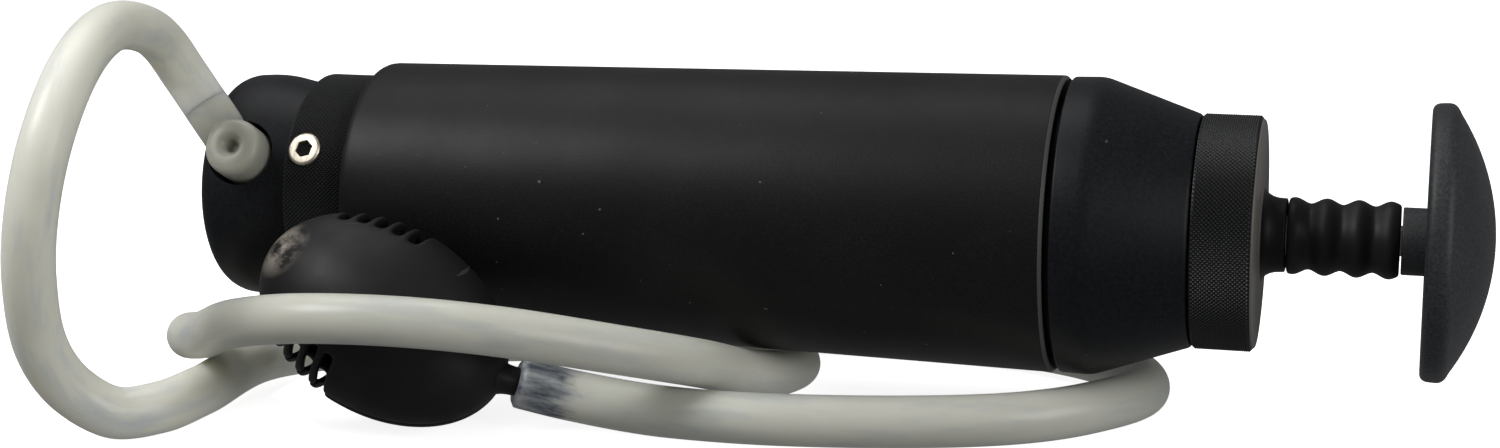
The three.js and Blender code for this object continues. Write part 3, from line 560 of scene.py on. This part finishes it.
# A smooth line through points. Each stretch is a cubic whose end slopes come from the
# neighbouring points, weighed by the square roots of the gaps between them.
def smoothLine(route, steps):
    spots = np.array(route, float)
    spots = np.concatenate([[2 * spots[0] - spots[1]], spots, [2 * spots[-1] - spots[-2]]])
    a, b, c, d = spots[:-3], spots[1:-2], spots[2:-1], spots[3:]
    gap = np.sqrt(np.linalg.norm(np.diff(spots, axis=0), axis=1))[:, None]
    before, here, after = gap[:-2], gap[1:-1], gap[2:]
    slopeB = ((b - a) / before - (c - a) / (before + here) + (c - b) / here) * here
    slopeC = ((c - b) / here - (d - b) / (here + after) + (d - c) / after) * here
    share = np.linspace(0, 1, steps, endpoint=False)[None, :, None]
    b, c, slopeB, slopeC = b[:, None], c[:, None], slopeB[:, None], slopeC[:, None]
    squared = 3 * (c - b) - 2 * slopeB - slopeC
    cubed = 2 * (b - c) + slopeB + slopeC
    line = b + slopeB * share + squared * share ** 2 + cubed * share ** 3
    return np.concatenate([line.reshape(-1, 3), spots[-2:-1]])


# Directions across a line that turn with it and never spin: each is the last one less its part along the line
def acrossLine(tangent):
    side = np.cross(tangent[0], hoseSetup["sideways"])
    sides = []
    for direction in tangent:
        side = side - direction * side.dot(direction)
        side = side / np.linalg.norm(side)
        sides.append(side)
    sides = np.array(sides)
    return sides, np.cross(tangent, sides)


# A round section carried along a line: point = line + r (across cos a + up sin a), with a rounded far lip
def makeHose():
    line = smoothLine(hoseRoute, hoseSetup["stepsPerStretch"])
    pace = np.linalg.norm(np.diff(line, axis=0), axis=1)
    along = np.concatenate([[0], np.cumsum(pace)])
    tangent = np.gradient(line, axis=0)
    tangent /= np.linalg.norm(tangent, axis=1)[:, None]
    across, up = acrossLine(tangent)
    radius = hoseSetup["radius"] * np.interp(along / along[-1], hoseSetup["swellAt"], hoseSetup["swell"])
    lip = np.clip((along[-1] - along) / hoseSetup["endRound"], 0, 1)
    radius = radius - hoseSetup["endRound"] * (1 - np.sqrt(1 - (1 - lip) ** 2))
    # The two ends close on the line itself
    order = np.r_[0, np.arange(len(line)), len(line) - 1]
    radius = np.r_[0, radius, 0]
    angle = np.linspace(0, fullTurn, hoseSetup["sides"], endpoint=False)
    spread = across[order][:, None] * np.cos(angle)[:, None] + up[order][:, None] * np.sin(angle)[:, None]
    points = line[order][:, None] + radius[:, None, None] * spread
    mesh = makeMesh("intakeHose", [(points.reshape(-1, 3), gridFaces(len(order), len(angle)))], 60)
    # What the finish reads: the place along and across the hose, the distance from its far end and its
    # painted shade
    spots = meshPoints(mesh)
    nearest = nearestStation(spots, line)
    offset, gone = spots - line[nearest], along[nearest]
    space = np.stack([gone, (offset * across[nearest]).sum(1), (offset * up[nearest]).sum(1)], -1) * mm
    mesh.attributes.new("hoseSpace", "FLOAT_VECTOR", "POINT").data.foreach_set("vector", space.ravel())
    keepValues(mesh, "fromEnd", (along[-1] - gone) * mm)
    keepValues(mesh, "clean", np.interp(gone / along[-1], hoseSetup["cleanAt"], hoseSetup["clean"]))
    return mesh, line, along[-1]


# The station of the line that is nearest to each point, a part of the points at a time to save memory
def nearestStation(spots, line, parts=40):
    return np.concatenate([
        np.argmin(((part[:, None] - line[None]) ** 2).sum(-1), axis=1)
        for part in np.array_split(spots, parts)])


hoseMesh, hoseLine, hoseLength = makeHose()
hose = makePiece(hoseMesh, "base_assembly", "hose", ["intake_hose"])
print("stage: hose,", round(hoseLength), "mm long")


# Where a CAD node starts and ends along the pump, in millimetres
def span(node):
    low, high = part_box(node)
    return low.x / mm, high.x / mm


def boxRadius(node):
    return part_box(node)[1].z / mm


# Half of an egg: (L cos t, W sin t cos a, T sin t sin a) for a over half a turn, split a hair from the seam.
# Rows of faces inside a slot are left out, and the wall and the rounding come from modifiers.
def makeStrainerHalf(name, side, node):
    setup = strainerSetup
    half, width, pitch, reach = setup["half"], setup["slotWidth"] / 2, setup["slotPitch"], setup["slotReach"]
    centres = setup["slotFirst"] - pitch * np.arange(setup["slots"])
    slotRows = np.sort(np.concatenate([centres, centres - width, centres + width, centres - pitch / 2]))[::-1]
    frontRows = half[0] * np.cos(np.radians(setup["frontRows"]))
    rearRows = half[0] * np.cos(np.radians(setup["rearRows"]))
    rows = np.concatenate([frontRows, slotRows[slotRows > rearRows[0] + 0.4], rearRows])
    columns = setup["slotColumns"]
    turns = np.concatenate([
        np.linspace(0, reach, columns + 1), np.linspace(reach, 180 - reach, setup["middleColumns"] + 1)[1:-1],
        np.linspace(180 - reach, 180, columns + 1)])
    seamTurn = math.degrees(setup["seam"] / 2 / half[1])
    turns = np.radians(np.clip(turns, seamTurn, 180 - seamTurn))
    girth = np.sqrt(np.clip(1 - (rows / half[0]) ** 2, 0, None))
    points = np.stack([np.tile(rows[:, None], len(turns)), half[1] * np.outer(girth, np.cos(turns)),
                       side * half[2] * np.outer(girth, np.sin(turns))], -1)
    faces = gridFaces(len(rows), len(turns), False)
    station = points.reshape(-1, 3)[faces].mean(1)[:, :1]
    inSlot = (np.abs(station - centres) < width).any(1)
    column = np.arange(len(faces)) % (len(turns) - 1)
    inReach = (column < columns) | (column >= len(turns) - 1 - columns)
    faces = faces[~(inSlot & inReach)]
    if side > 0:
        faces = faces[:, ::-1]
    mesh = makeOpenMesh(name, strainerPlace(points.reshape(-1, 3)), faces, setup["centre"])
    mesh = finishedMesh(mesh, [
        ("SOLIDIFY", {"thickness": setup["wall"] * mm, "offset": -1.0}),
        ("SUBSURF", {"levels": 2, "render_levels": 2}),
    ])
    smoothFaces(mesh)
    return makePiece(mesh, "base_assembly", "strainer", [node])


# An open surface whose faces are all turned away from a point inside it
def makeOpenMesh(name, points, faces, inside):
    mesh = bpy.data.meshes.new(name)
    mesh.from_pydata((points * mm).tolist(), [], faces.tolist())
    shape = bmesh.new()
    shape.from_mesh(mesh)
    bmesh.ops.remove_doubles(shape, verts=shape.verts, dist=1e-6)
    shape.normal_update()
    middle = Vector(inside) * mm
    outwards = sum((face.calc_center_median() - middle).dot(face.normal) for face in shape.faces)
    if outwards < 0:
        bmesh.ops.reverse_faces(shape, faces=shape.faces)
    shape.to_mesh(mesh)
    shape.free()
    return mesh


strainerFront = makeStrainerHalf("strainerFront", 1, "strainer_front_shell")
strainerRear = makeStrainerHalf("strainerRear", -1, "strainer_rear_shell")
hoseEnd, hoseEndTurn = hoseLine[-1], hoseLine[-1] - hoseLine[-2]
spigotStart, spigotLength, spigotRoot = (
    strainerSetup[key] for key in ("spigotEnd", "spigotLength", "spigotRoot"))
spigotProfile = softProfile([
    (spigotStart, 0), (spigotStart, strainerSetup["spigotTip"], 0.4), (2.6, strainerSetup["spigot"], 1.6),
    (6.0, spigotRoot, 1.5), (spigotLength, spigotRoot - 1.6), (spigotLength, 0)])
strainerSpigot = makePiece(
    makeMesh("strainerSpigot", [aimed(turnedSurface(spigotProfile, 48), hoseEnd, hoseEndTurn)]),
    "base_assembly", "strainer", ["strainer_spigot"])
print("stage: strainer")

housingSetup = {"footRadius": 27.5, "headRadius": 30.0, "bore": 23.5, "footRound": 2.4, "headChamfer": 0.7,
                "leadIn": 1.2, "leadDepth": 1.6, "socket": 26.5, "socketDepth": 9, "sides": 224}
headSetup = {"gap": 1.2, "rim": 6.2, "nose": 23.2, "edge": 0.5, "shoulderRound": 1.6, "noseRound": 0.9,
             "spigot": 26.0, "bore": 20, "roof": 3, "throat": 18, "mouth": 20.6, "mouthDepth": 2.6}


# A line turned round the axis: the outside from foot to head, then the socket and the bore back
def makeHousing():
    setup = housingSetup
    start, end = span("housing_tube")
    chamfer, floor, lead = setup["headChamfer"], end - setup["socketDepth"], start + setup["leadDepth"]
    profile = softProfile([
        (start, setup["bore"] + setup["leadIn"], 0.3), (start, setup["footRadius"], setup["footRound"]),
        (end - chamfer, setup["headRadius"], 0.25), (end, setup["headRadius"] - chamfer, 0.2),
        (end, setup["socket"]), (floor, setup["socket"]), (floor, setup["bore"]),
        (lead, setup["bore"]), (lead, setup["bore"] + setup["leadIn"])], 5, True)
    makeTurned("housing", profile, setup["sides"], 50, "housing_assembly", "coat",
               "housing_tube")


# A line turned round the axis: the spigot, the rim, the cone to the nose, then the mouth and the bore back
def makeHead():
    setup = headSetup
    low, end = span("pump_head")
    start, top = span("housing_tube")[1] + setup["gap"], housingSetup["headRadius"]
    rimEnd, mouthFloor = start + setup["rim"], end - setup["mouthDepth"]
    profile = softProfile([
        (low, setup["bore"]), (low, setup["spigot"], 0.4), (start, setup["spigot"]),
        (start, top - 0.2, setup["edge"]), (rimEnd, top, setup["shoulderRound"]),
        (end, setup["nose"], setup["noseRound"]), (end, setup["mouth"]),
        (mouthFloor, setup["mouth"]), (mouthFloor, setup["throat"]),
        (rimEnd + setup["roof"], setup["throat"]), (rimEnd + setup["roof"], setup["bore"])], 6, True)
    makeTurned("pumpHead", profile, housingSetup["sides"], 50, "housing_assembly", "head",
               "pump_head")


makeHousing()
makeHead()
print("stage: housing")

knurlSetup = {"pitch": 0.88, "depth": 0.3, "rim": 0.45, "skirt": 0.1, "wall": 2}


# Diamond knurl: on a grid of half pitches round and along, every second point is a peak and the rest are
# valleys, and each square is split along its valley, so that the faces are the diamonds' own
def knurledBand(start, end, radius, inner):
    pitch, depth, rim = knurlSetup["pitch"], knurlSetup["depth"], knurlSetup["rim"]
    low, high = start + rim, end - rim
    rows = int(round((high - low) / (pitch / 2))) + 1
    columns = 2 * int(round(fullTurn * radius / pitch))
    angle = np.arange(columns) * fullTurn / columns
    row, column = np.meshgrid(np.arange(rows), np.arange(columns), indexing="ij")
    valley = (row + column) % 2 == 0
    edge = np.repeat([[inner], [radius - depth - knurlSetup["skirt"]]], columns, axis=1)
    tall = np.concatenate([edge, radius - depth * valley, edge[::-1]])
    station = np.concatenate([[start, start], np.linspace(low, high, rows), [end, end]])
    points = np.stack([station[:, None] * np.ones(columns), tall * np.cos(angle), tall * np.sin(angle)], -1)
    quads = gridFaces(len(station), columns)
    a, b, c, d = quads.T
    split = ((a // columns) + (a % columns)) % 2 == 0
    first = np.where(split[:, None], np.stack([a, b, c], -1), np.stack([a, b, d], -1))
    second = np.where(split[:, None], np.stack([a, c, d], -1), np.stack([b, c, d], -1))
    inside = np.stack([np.arange(columns), (np.arange(columns) + 1) % columns], -1)
    last = (len(station) - 1) * columns
    closing = np.stack([inside[:, 0], inside[:, 1], inside[:, 1] + last, inside[:, 0] + last], -1)
    return points.reshape(-1, 3), np.concatenate([first, second]), closing


# The points' height between valley and peak goes with the mesh, for the finish
def makeKnurl(name, start, end, radius, body, node):
    points, triangles, closing = knurledBand(start, end, radius, radius - knurlSetup["wall"])
    mesh = makeMesh(name, [(points, triangles), (points[:0], closing - len(points))], flat=True)
    out = np.linalg.norm(meshPoints(mesh)[:, 1:], axis=1)
    keepValues(mesh, "knurlHeight", np.clip((out - radius + knurlSetup["depth"]) / knurlSetup["depth"], 0, 1))
    makePiece(mesh, body, "knurl", [node])


ringSetup = {"band": 13, "hole": 13, "core": 22.6, "bore": 14.6,
             "spigot": 23.2, "threadPitch": 1.5, "threadDepth": 0.3, "plain": 3.4, "threadInner": 22}
capSetup = {"knurl": 12, "faceRound": 0.6, "neck": 7.35, "neckLength": 5, "fillet": 4.2, "spigot": 17.7,
            "bore": 4.3, "inside": 8.3, "roof": 4, "threadPitch": 1.5, "threadDepth": 0.3, "threadInner": 16}


# The knurled band, and a line turned round the axis for its ends, its floor and its threaded spigot
def makeRing():
    setup = ringSetup
    start, end = span("base_ring")
    band, radius = start + setup["band"], boxRadius("base_ring")
    makeKnurl("baseRing", start, band, radius, "base_assembly", "base_ring")
    core = softProfile([
        (start + 0.1, setup["hole"]), (start + 0.1, radius - 1), (band - 0.1, radius - 1),
        (band - 0.1, setup["core"]), (end, setup["core"], 0.4), (end, setup["bore"]), (band, setup["bore"]),
        (band, setup["hole"])], 4, True)
    thread = threadedSurface(band, end - setup["plain"], setup["spigot"], setup["threadPitch"],
                             setup["threadDepth"], setup["threadInner"])
    mesh = makeMesh("ringSpigot", [turnedSurface(core, 96), thread])
    makePiece(mesh, "base_assembly", "steel")


# The knurled band, and a line turned round the axis for the spigot, the face, the neck and the rod's bore
def makeCap():
    setup = capSetup
    low, top = span("gland_cap")
    face = top - setup["neckLength"]
    start, radius, knurlEnd = face - setup["knurl"], boxRadius("gland_cap"), face - setup["faceRound"]
    makeKnurl("glandCap", start, knurlEnd, radius, "cap_assembly", "gland_cap")
    plain = setup["spigot"] - 0.4
    core = softProfile([
        (low, setup["inside"]), (low, plain), (start, plain), (start, radius - 1.2, 0.2),
        (start + 0.5, radius - 0.7), (knurlEnd - 0.1, radius - 0.5, 0.2), (face, radius - 0.9, 0.35),
        (face, setup["neck"], setup["fillet"]), (top, setup["neck"], 0.4), (top, setup["bore"], 0.3),
        (face - setup["roof"], setup["bore"]), (face - setup["roof"], setup["inside"])], 7, True)
    thread = threadedSurface(low + 1, start - 1, setup["spigot"], setup["threadPitch"], setup["threadDepth"],
                             setup["threadInner"])
    mesh = makeMesh("capFace", [turnedSurface(core, 160), thread], 40)
    makePiece(mesh, "cap_assembly", "capFace")


# The cap's face gets a painted reflection as a narrow warm pale band
faceSettings = dict(coatSettings, highlightBand=(0.14, 0.131, 0.12), highlightBandWidth=0.9, grainDepth=0.00001)
capFaceAt = span("gland_cap")[1] - capSetup["neckLength"]
finishes["capFace"] = coatedFinish("capFaceBlack", faceSettings, capFaceAt)
makeRing()
makeCap()
print("stage: knurled ring and cap")

footSetup = {"radius": 24.2, "face": 22.0, "faceRound": 2.0, "waist": 22.1, "boss": 12.7, "gap": 0.3,
             "sides": 192}
portSetup = {"station": 9.3, "angle": 27.0, "recess": 6.8, "floor": 15.0, "lip": 1.5, "lipFrom": 22.0,
             "lipTo": 27.0}
elbowSetup = {"radius": 6.1, "base": 16.6, "top": 28.6, "dimple": 2.3, "dimpleDepth": 2.8,
              "branch": 4.95, "reach": 14.0, "overlap": 0.6, "voxel": 0.38, "smoothing": 7}
outletSetup = {"station": 24.5, "angle": 29.0, "radius": 3.5, "from": 20.5, "to": 25.25, "sides": 96,
               "mouth": 2.1, "socket": 1.62, "socketTurn": 0.2, "socketDepth": 3.2, "socketEdge": 0.12}


# The direction of a port that points out of the pump at an angle above the horizontal, on the -Y side
def outOf(angle):
    return (0, -math.cos(math.radians(angle)), math.sin(math.radians(angle)))


# A line turned round the axis, less a round recess with a flared lip on the hose port's own axis
def makeFoot():
    setup, port = footSetup, portSetup
    length, back = span("base_ring")[0] - setup["gap"], span("foot")[1]
    profile = softProfile([
        (0, 0), (0, setup["face"], setup["faceRound"]), (3.0, setup["radius"] - 0.4, 1.6),
        (9.5, setup["radius"], 3.2), (length - 0.4, setup["waist"], 0.3), (length, setup["waist"] - 0.4),
        (length, setup["boss"]), (back, setup["boss"]), (back, 0)], 8)
    mesh = makeMesh("footCap", [turnedSurface(profile, setup["sides"])], 50)
    cutter = softProfile([
        (port["floor"], 0), (port["floor"], port["recess"]), (port["lipFrom"], port["recess"], 0.6),
        (port["lipTo"], port["recess"] + port["lip"]), (port["lipTo"], 0)])
    recess = aimed(turnedSurface(cutter, 72), (port["station"], 0, 0), outOf(port["angle"]))
    tool = makeMesh("recess", [recess])
    holder = bpy.data.objects.new("recess", tool)
    bpy.context.scene.collection.objects.link(holder)
    mesh = finishedMesh(mesh, [("BOOLEAN", {"operation": "DIFFERENCE", "object": holder, "solver": "EXACT"})])
    bpy.data.objects.remove(holder)
    smoothFaces(mesh, 34)
    makePiece(mesh, "base_assembly", "foot", ["foot"])


# A stub with a dimple and a branch to the hose, melted into one moulding
def makeElbow():
    setup = elbowSetup
    top, radius, dimpleFloor = setup["top"], setup["radius"], setup["top"] - setup["dimpleDepth"]
    stub = softProfile([
        (setup["base"], 0), (setup["base"], radius, 0.4), (top, radius, 2.2), (top, setup["dimple"], 0.5),
        (top - 1.0, 1.5, 0.5), (dimpleFloor, 1.1, 0.4), (dimpleFloor, 0)], 5)
    start, turn = hoseLine[0], hoseLine[1] - hoseLine[0]
    turn = turn / np.linalg.norm(turn)
    root, width, tip = start - turn * setup["reach"], setup["branch"], setup["reach"] + setup["overlap"]
    branch = softProfile([(2, 0), (2, width, 1), (tip, width, 0.1), (tip, 0)], 4)
    mesh = makeMesh("hoseElbow", [
        aimed(turnedSurface(stub, 72), (portSetup["station"], 0, 0), outOf(portSetup["angle"])),
        aimed(turnedSurface(branch, 64), root, turn)])
    mesh = finishedMesh(mesh, [
        ("REMESH", {"mode": "VOXEL", "voxel_size": setup["voxel"] * mm}),
        ("SMOOTH", {"factor": 0.5, "iterations": setup["smoothing"]}),
    ])
    smoothFaces(mesh)
    makePiece(mesh, "base_assembly", "elbow", ["hose_elbow"])


# A ring with a six-sided socket: the inner radius is the flat's distance / cos(angle from the flat's middle)
def makeOutlet():
    setup = outletSetup
    base, top, radius, sides = setup["from"], setup["to"], setup["radius"], setup["sides"]
    angle = np.linspace(0, fullTurn, sides, endpoint=False)
    flat = setup["socket"] / np.cos((angle + setup["socketTurn"]) % (fullTurn / 6) - fullTurn / 12)
    outer = softProfile([(base, radius - 0.3), (base, radius), (top - 0.35, radius, 0.1),
                         (top, radius - 0.4, 0.1), (top, setup["mouth"])], 3)
    rows = np.concatenate([np.tile(outer[:, 1:], sides), [flat + setup["socketEdge"], flat, flat],
                           np.zeros((1, sides))])
    floor = top - setup["socketDepth"]
    station = np.concatenate([outer[:, 0], [top, top - 0.15, floor, floor]])
    points = np.stack([np.tile(station[:, None], sides), rows * np.cos(angle), rows * np.sin(angle)], -1)
    socket = (points.reshape(-1, 3), gridFaces(len(station), sides))
    back = turnedSurface([(base, 0), (base, radius - 0.3)], sides)
    place, direction = (setup["station"], 0, 0), outOf(setup["angle"])
    mesh = makeMesh("outletNozzle", [aimed(socket, place, direction), aimed(back, place, direction)], 25)
    makePiece(mesh, "base_assembly", "pale", ["outlet_nozzle"])


makeFoot()
makeElbow()
makeOutlet()
print("stage: foot and ports")

bumperSetup = {"valley": 6.55, "crest": 7.65, "first": 1.1, "pitch": 6.15, "edge": 0.35, "bore": 4.3}
rodSetup = {"thin": 2.5, "step": 59, "thick": 4.0, "stub": 3.0}
handleSetup = {"hub": 6.65, "hubBore": 3.4, "hubSink": 0.4, "rim": 27.35, "rimThick": 4.4, "taper": 0.25,
               "backRound": 1.7, "rimRound": 1.5, "step": 0.5, "domeRows": 40, "rimRows": 3}


# Rounded crests: radius = valley + rise (0.5 + 0.5 cos(turn (x - first) / pitch)) to a low power
def makeBumper():
    setup = bumperSetup
    start, end = span("rod_bumper")
    along = np.linspace(0, end - start, 150)
    wave = 0.5 + 0.5 * np.cos(fullTurn * (along - setup["first"]) / setup["pitch"])
    radius = setup["valley"] + (setup["crest"] - setup["valley"]) * wave ** 0.85
    inward = np.clip(np.minimum(along, along[-1] - along) / setup["edge"], 0, 1)
    radius = radius - setup["edge"] * (1 - np.sqrt(1 - (1 - inward) ** 2))
    outside, bore = np.stack([start + along, radius], -1), setup["bore"]
    profile = np.concatenate([[(start, bore)], outside, [(end, bore), (start, bore)]])
    makeTurned("rodBumper", profile, 96, 50, "piston_assembly", "bumper", "rod_bumper")


# A line turned round the axis, from the thin end in the piston to the stub in the handle
def makeRod():
    thin, thick, step, stub = (rodSetup[key] for key in ("thin", "thick", "step", "stub"))
    start, end = span("piston_rod")
    shoulder = span("handle_hub")[0] - 0.3
    profile = softProfile([(start, 0), (start, thin, 0.3), (step, thin), (step, thick, 0.3),
                           (shoulder, thick), (shoulder, stub), (end, stub, 0.3), (end, 0)], 4)
    makeTurned("pistonRod", profile, 72, 34, "piston_assembly", "steel", "piston_rod")


# The dome is a cap of a sphere whose edge is the rim: x = apex - sphere radius (1 - cos t),
# r = sphere radius sin t, for t from the rim's angle to 0
def makeHandle():
    setup = handleSetup
    start, (back, apex) = span("handle_hub")[0], span("handle_knob")
    hubEnd, bore, rim = back + setup["hubSink"], setup["hubBore"], setup["rim"]
    hub = softProfile([(start, bore), (start, setup["hub"], 0.35), (hubEnd, setup["hub"]),
                       (hubEnd, bore)], 4, True)
    makeTurned("handleHub", hub, 96, 34, "piston_assembly", "handle", "handle_hub")
    rimEnd, domeRadius = back + setup["rimThick"], rim - setup["step"]
    capAngle = 2 * math.atan((apex - rimEnd) / domeRadius)
    sphere = domeRadius / math.sin(capAngle)
    angle = np.linspace(capAngle, 0, setup["domeRows"])
    dome = np.stack([apex - sphere * (1 - np.cos(angle)), sphere * np.sin(angle)], -1)[setup["rimRows"]:]
    edge = softProfile([(back, 0), (back, rim - setup["taper"], setup["backRound"]),
                        (rimEnd, rim, setup["rimRound"]), dome[0]], 7)
    profile = np.concatenate([edge[:-1], dome])
    makeTurned("handleKnob", profile, 192, 60, "piston_assembly", "handle", "handle_knob")


makeBumper()
makeRod()
makeHandle()
print("stage: handle")

# The CAD's own pieces inside the pump stay as they are and get these finishes
innerFinishes = {
    "seal": ["foot_seal", "base_ring_seal", "outlet_seal", "element_bottom_seal", "element_top_seal",
             "housing_gasket", "head_seal", "cap_seal", "rod_seal", "piston_seal"],
    "plastic": ["valve_seat", "intake_valve_cage", "element_bottom_cap", "element_top_cap", "gland_retainer",
                "piston_body", "delivery_valve_disc"],
    "steel": ["intake_valve_ball", "pump_barrel", "valve_retainer", "strainer_screen", "strainer_ballast"],
    "spring": ["intake_valve_spring", "delivery_valve_spring"],
    "pale": ["inlet_nozzle", "element_nut", "rod_bush", "piston_nut"],
    "ceramic": ["ceramic_element"],
}
for finish, names in innerFinishes.items():
    for name in names:
        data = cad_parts[name].data
        data.materials.clear()
        data.materials.append(finishes[finish])

studio = {
    "floorColour": (0.9, 0.9, 0.9), "floorGlow": 0.85, "floorSize": 6.0, "floorRows": 5,
    "seen": 1.02, "fill": 0.2, "fillColour": (0.97, 0.98, 1),
    # name: (place, aimed at, size, power)
    "lamps": {
        "keyLight": ((-0.62, -0.6, 0.95), (0.0, 0, 0), 0.6, 10.5),
        "topLight": ((-0.25, 0.3, 1.25), (0.0, 0, 0), 0.9, 4.5),
        "sideLight": ((1.4, -0.6, 0.4), (0.25, 0, 0), 0.8, 8.0),
    },
}


# A flat floor at the lowest of hose and strainer, soft round lamps, and a world that the camera sees paler
# than the pump does. The floor stays out of gloss and bounced light, which would wash out the blacks.
def makeStudio():
    floorLevel = min(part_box("intake_hose")[0].z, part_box("strainer_rear_shell")[0].z)
    half, rows = studio["floorSize"] / 2, studio["floorRows"]
    grid = np.linspace(-half, half, rows)
    across, deep = np.meshgrid(grid, grid, indexing="ij")
    points = np.stack([across, deep, np.full_like(across, floorLevel)], -1).reshape(-1, 3)
    mesh = bpy.data.meshes.new("floor")
    mesh.from_pydata(points.tolist(), [], gridFaces(rows, rows, False)[:, ::-1].tolist())
    paper = startFinish("floorPaper", {
        "Roughness": 0.9, "Specular IOR Level": 0.1, "Base Color": (*studio["floorColour"], 1),
        "Emission Color": (1, 1, 1, 1), "Emission Strength": studio["floorGlow"]})[0]
    mesh.materials.append(paper)
    floor = bpy.data.objects.new("floor", mesh)
    floor.visible_glossy = False
    floor.visible_diffuse = False
    bpy.context.scene.collection.objects.link(floor)
    for name, (place, target, size, power) in studio["lamps"].items():
        lamp = bpy.data.lights.new(name, "AREA")
        lamp.shape, lamp.size, lamp.energy = "DISK", size, power
        light = bpy.data.objects.new(name, lamp)
        light.location = place
        light.rotation_euler = (Vector(target) - Vector(place)).to_track_quat("-Z", "Y").to_euler()
        bpy.context.scene.collection.objects.link(light)
    world = bpy.data.worlds.new("studio")
    bpy.context.scene.world = world
    world.use_nodes = True
    tree = world.node_tree
    tree.nodes.clear()
    seen = addNode(tree, "ShaderNodeBackground", None, {"Color": (1, 1, 1, 1), "Strength": studio["seen"]})
    fill = addNode(tree, "ShaderNodeBackground", None, {
        "Color": (*studio["fillColour"], 1), "Strength": studio["fill"]})
    ray = addNode(tree, "ShaderNodeLightPath").outputs["Is Camera Ray"]
    mixed = addNode(tree, "ShaderNodeMixShader", None, {0: ray, 1: fill.outputs[0], 2: seen.outputs[0]})
    addNode(tree, "ShaderNodeOutputWorld", None, {"Surface": mixed.outputs[0]})
    bpy.context.scene.view_settings.view_transform = "Standard"


makeStudio()
print("stage: studio")
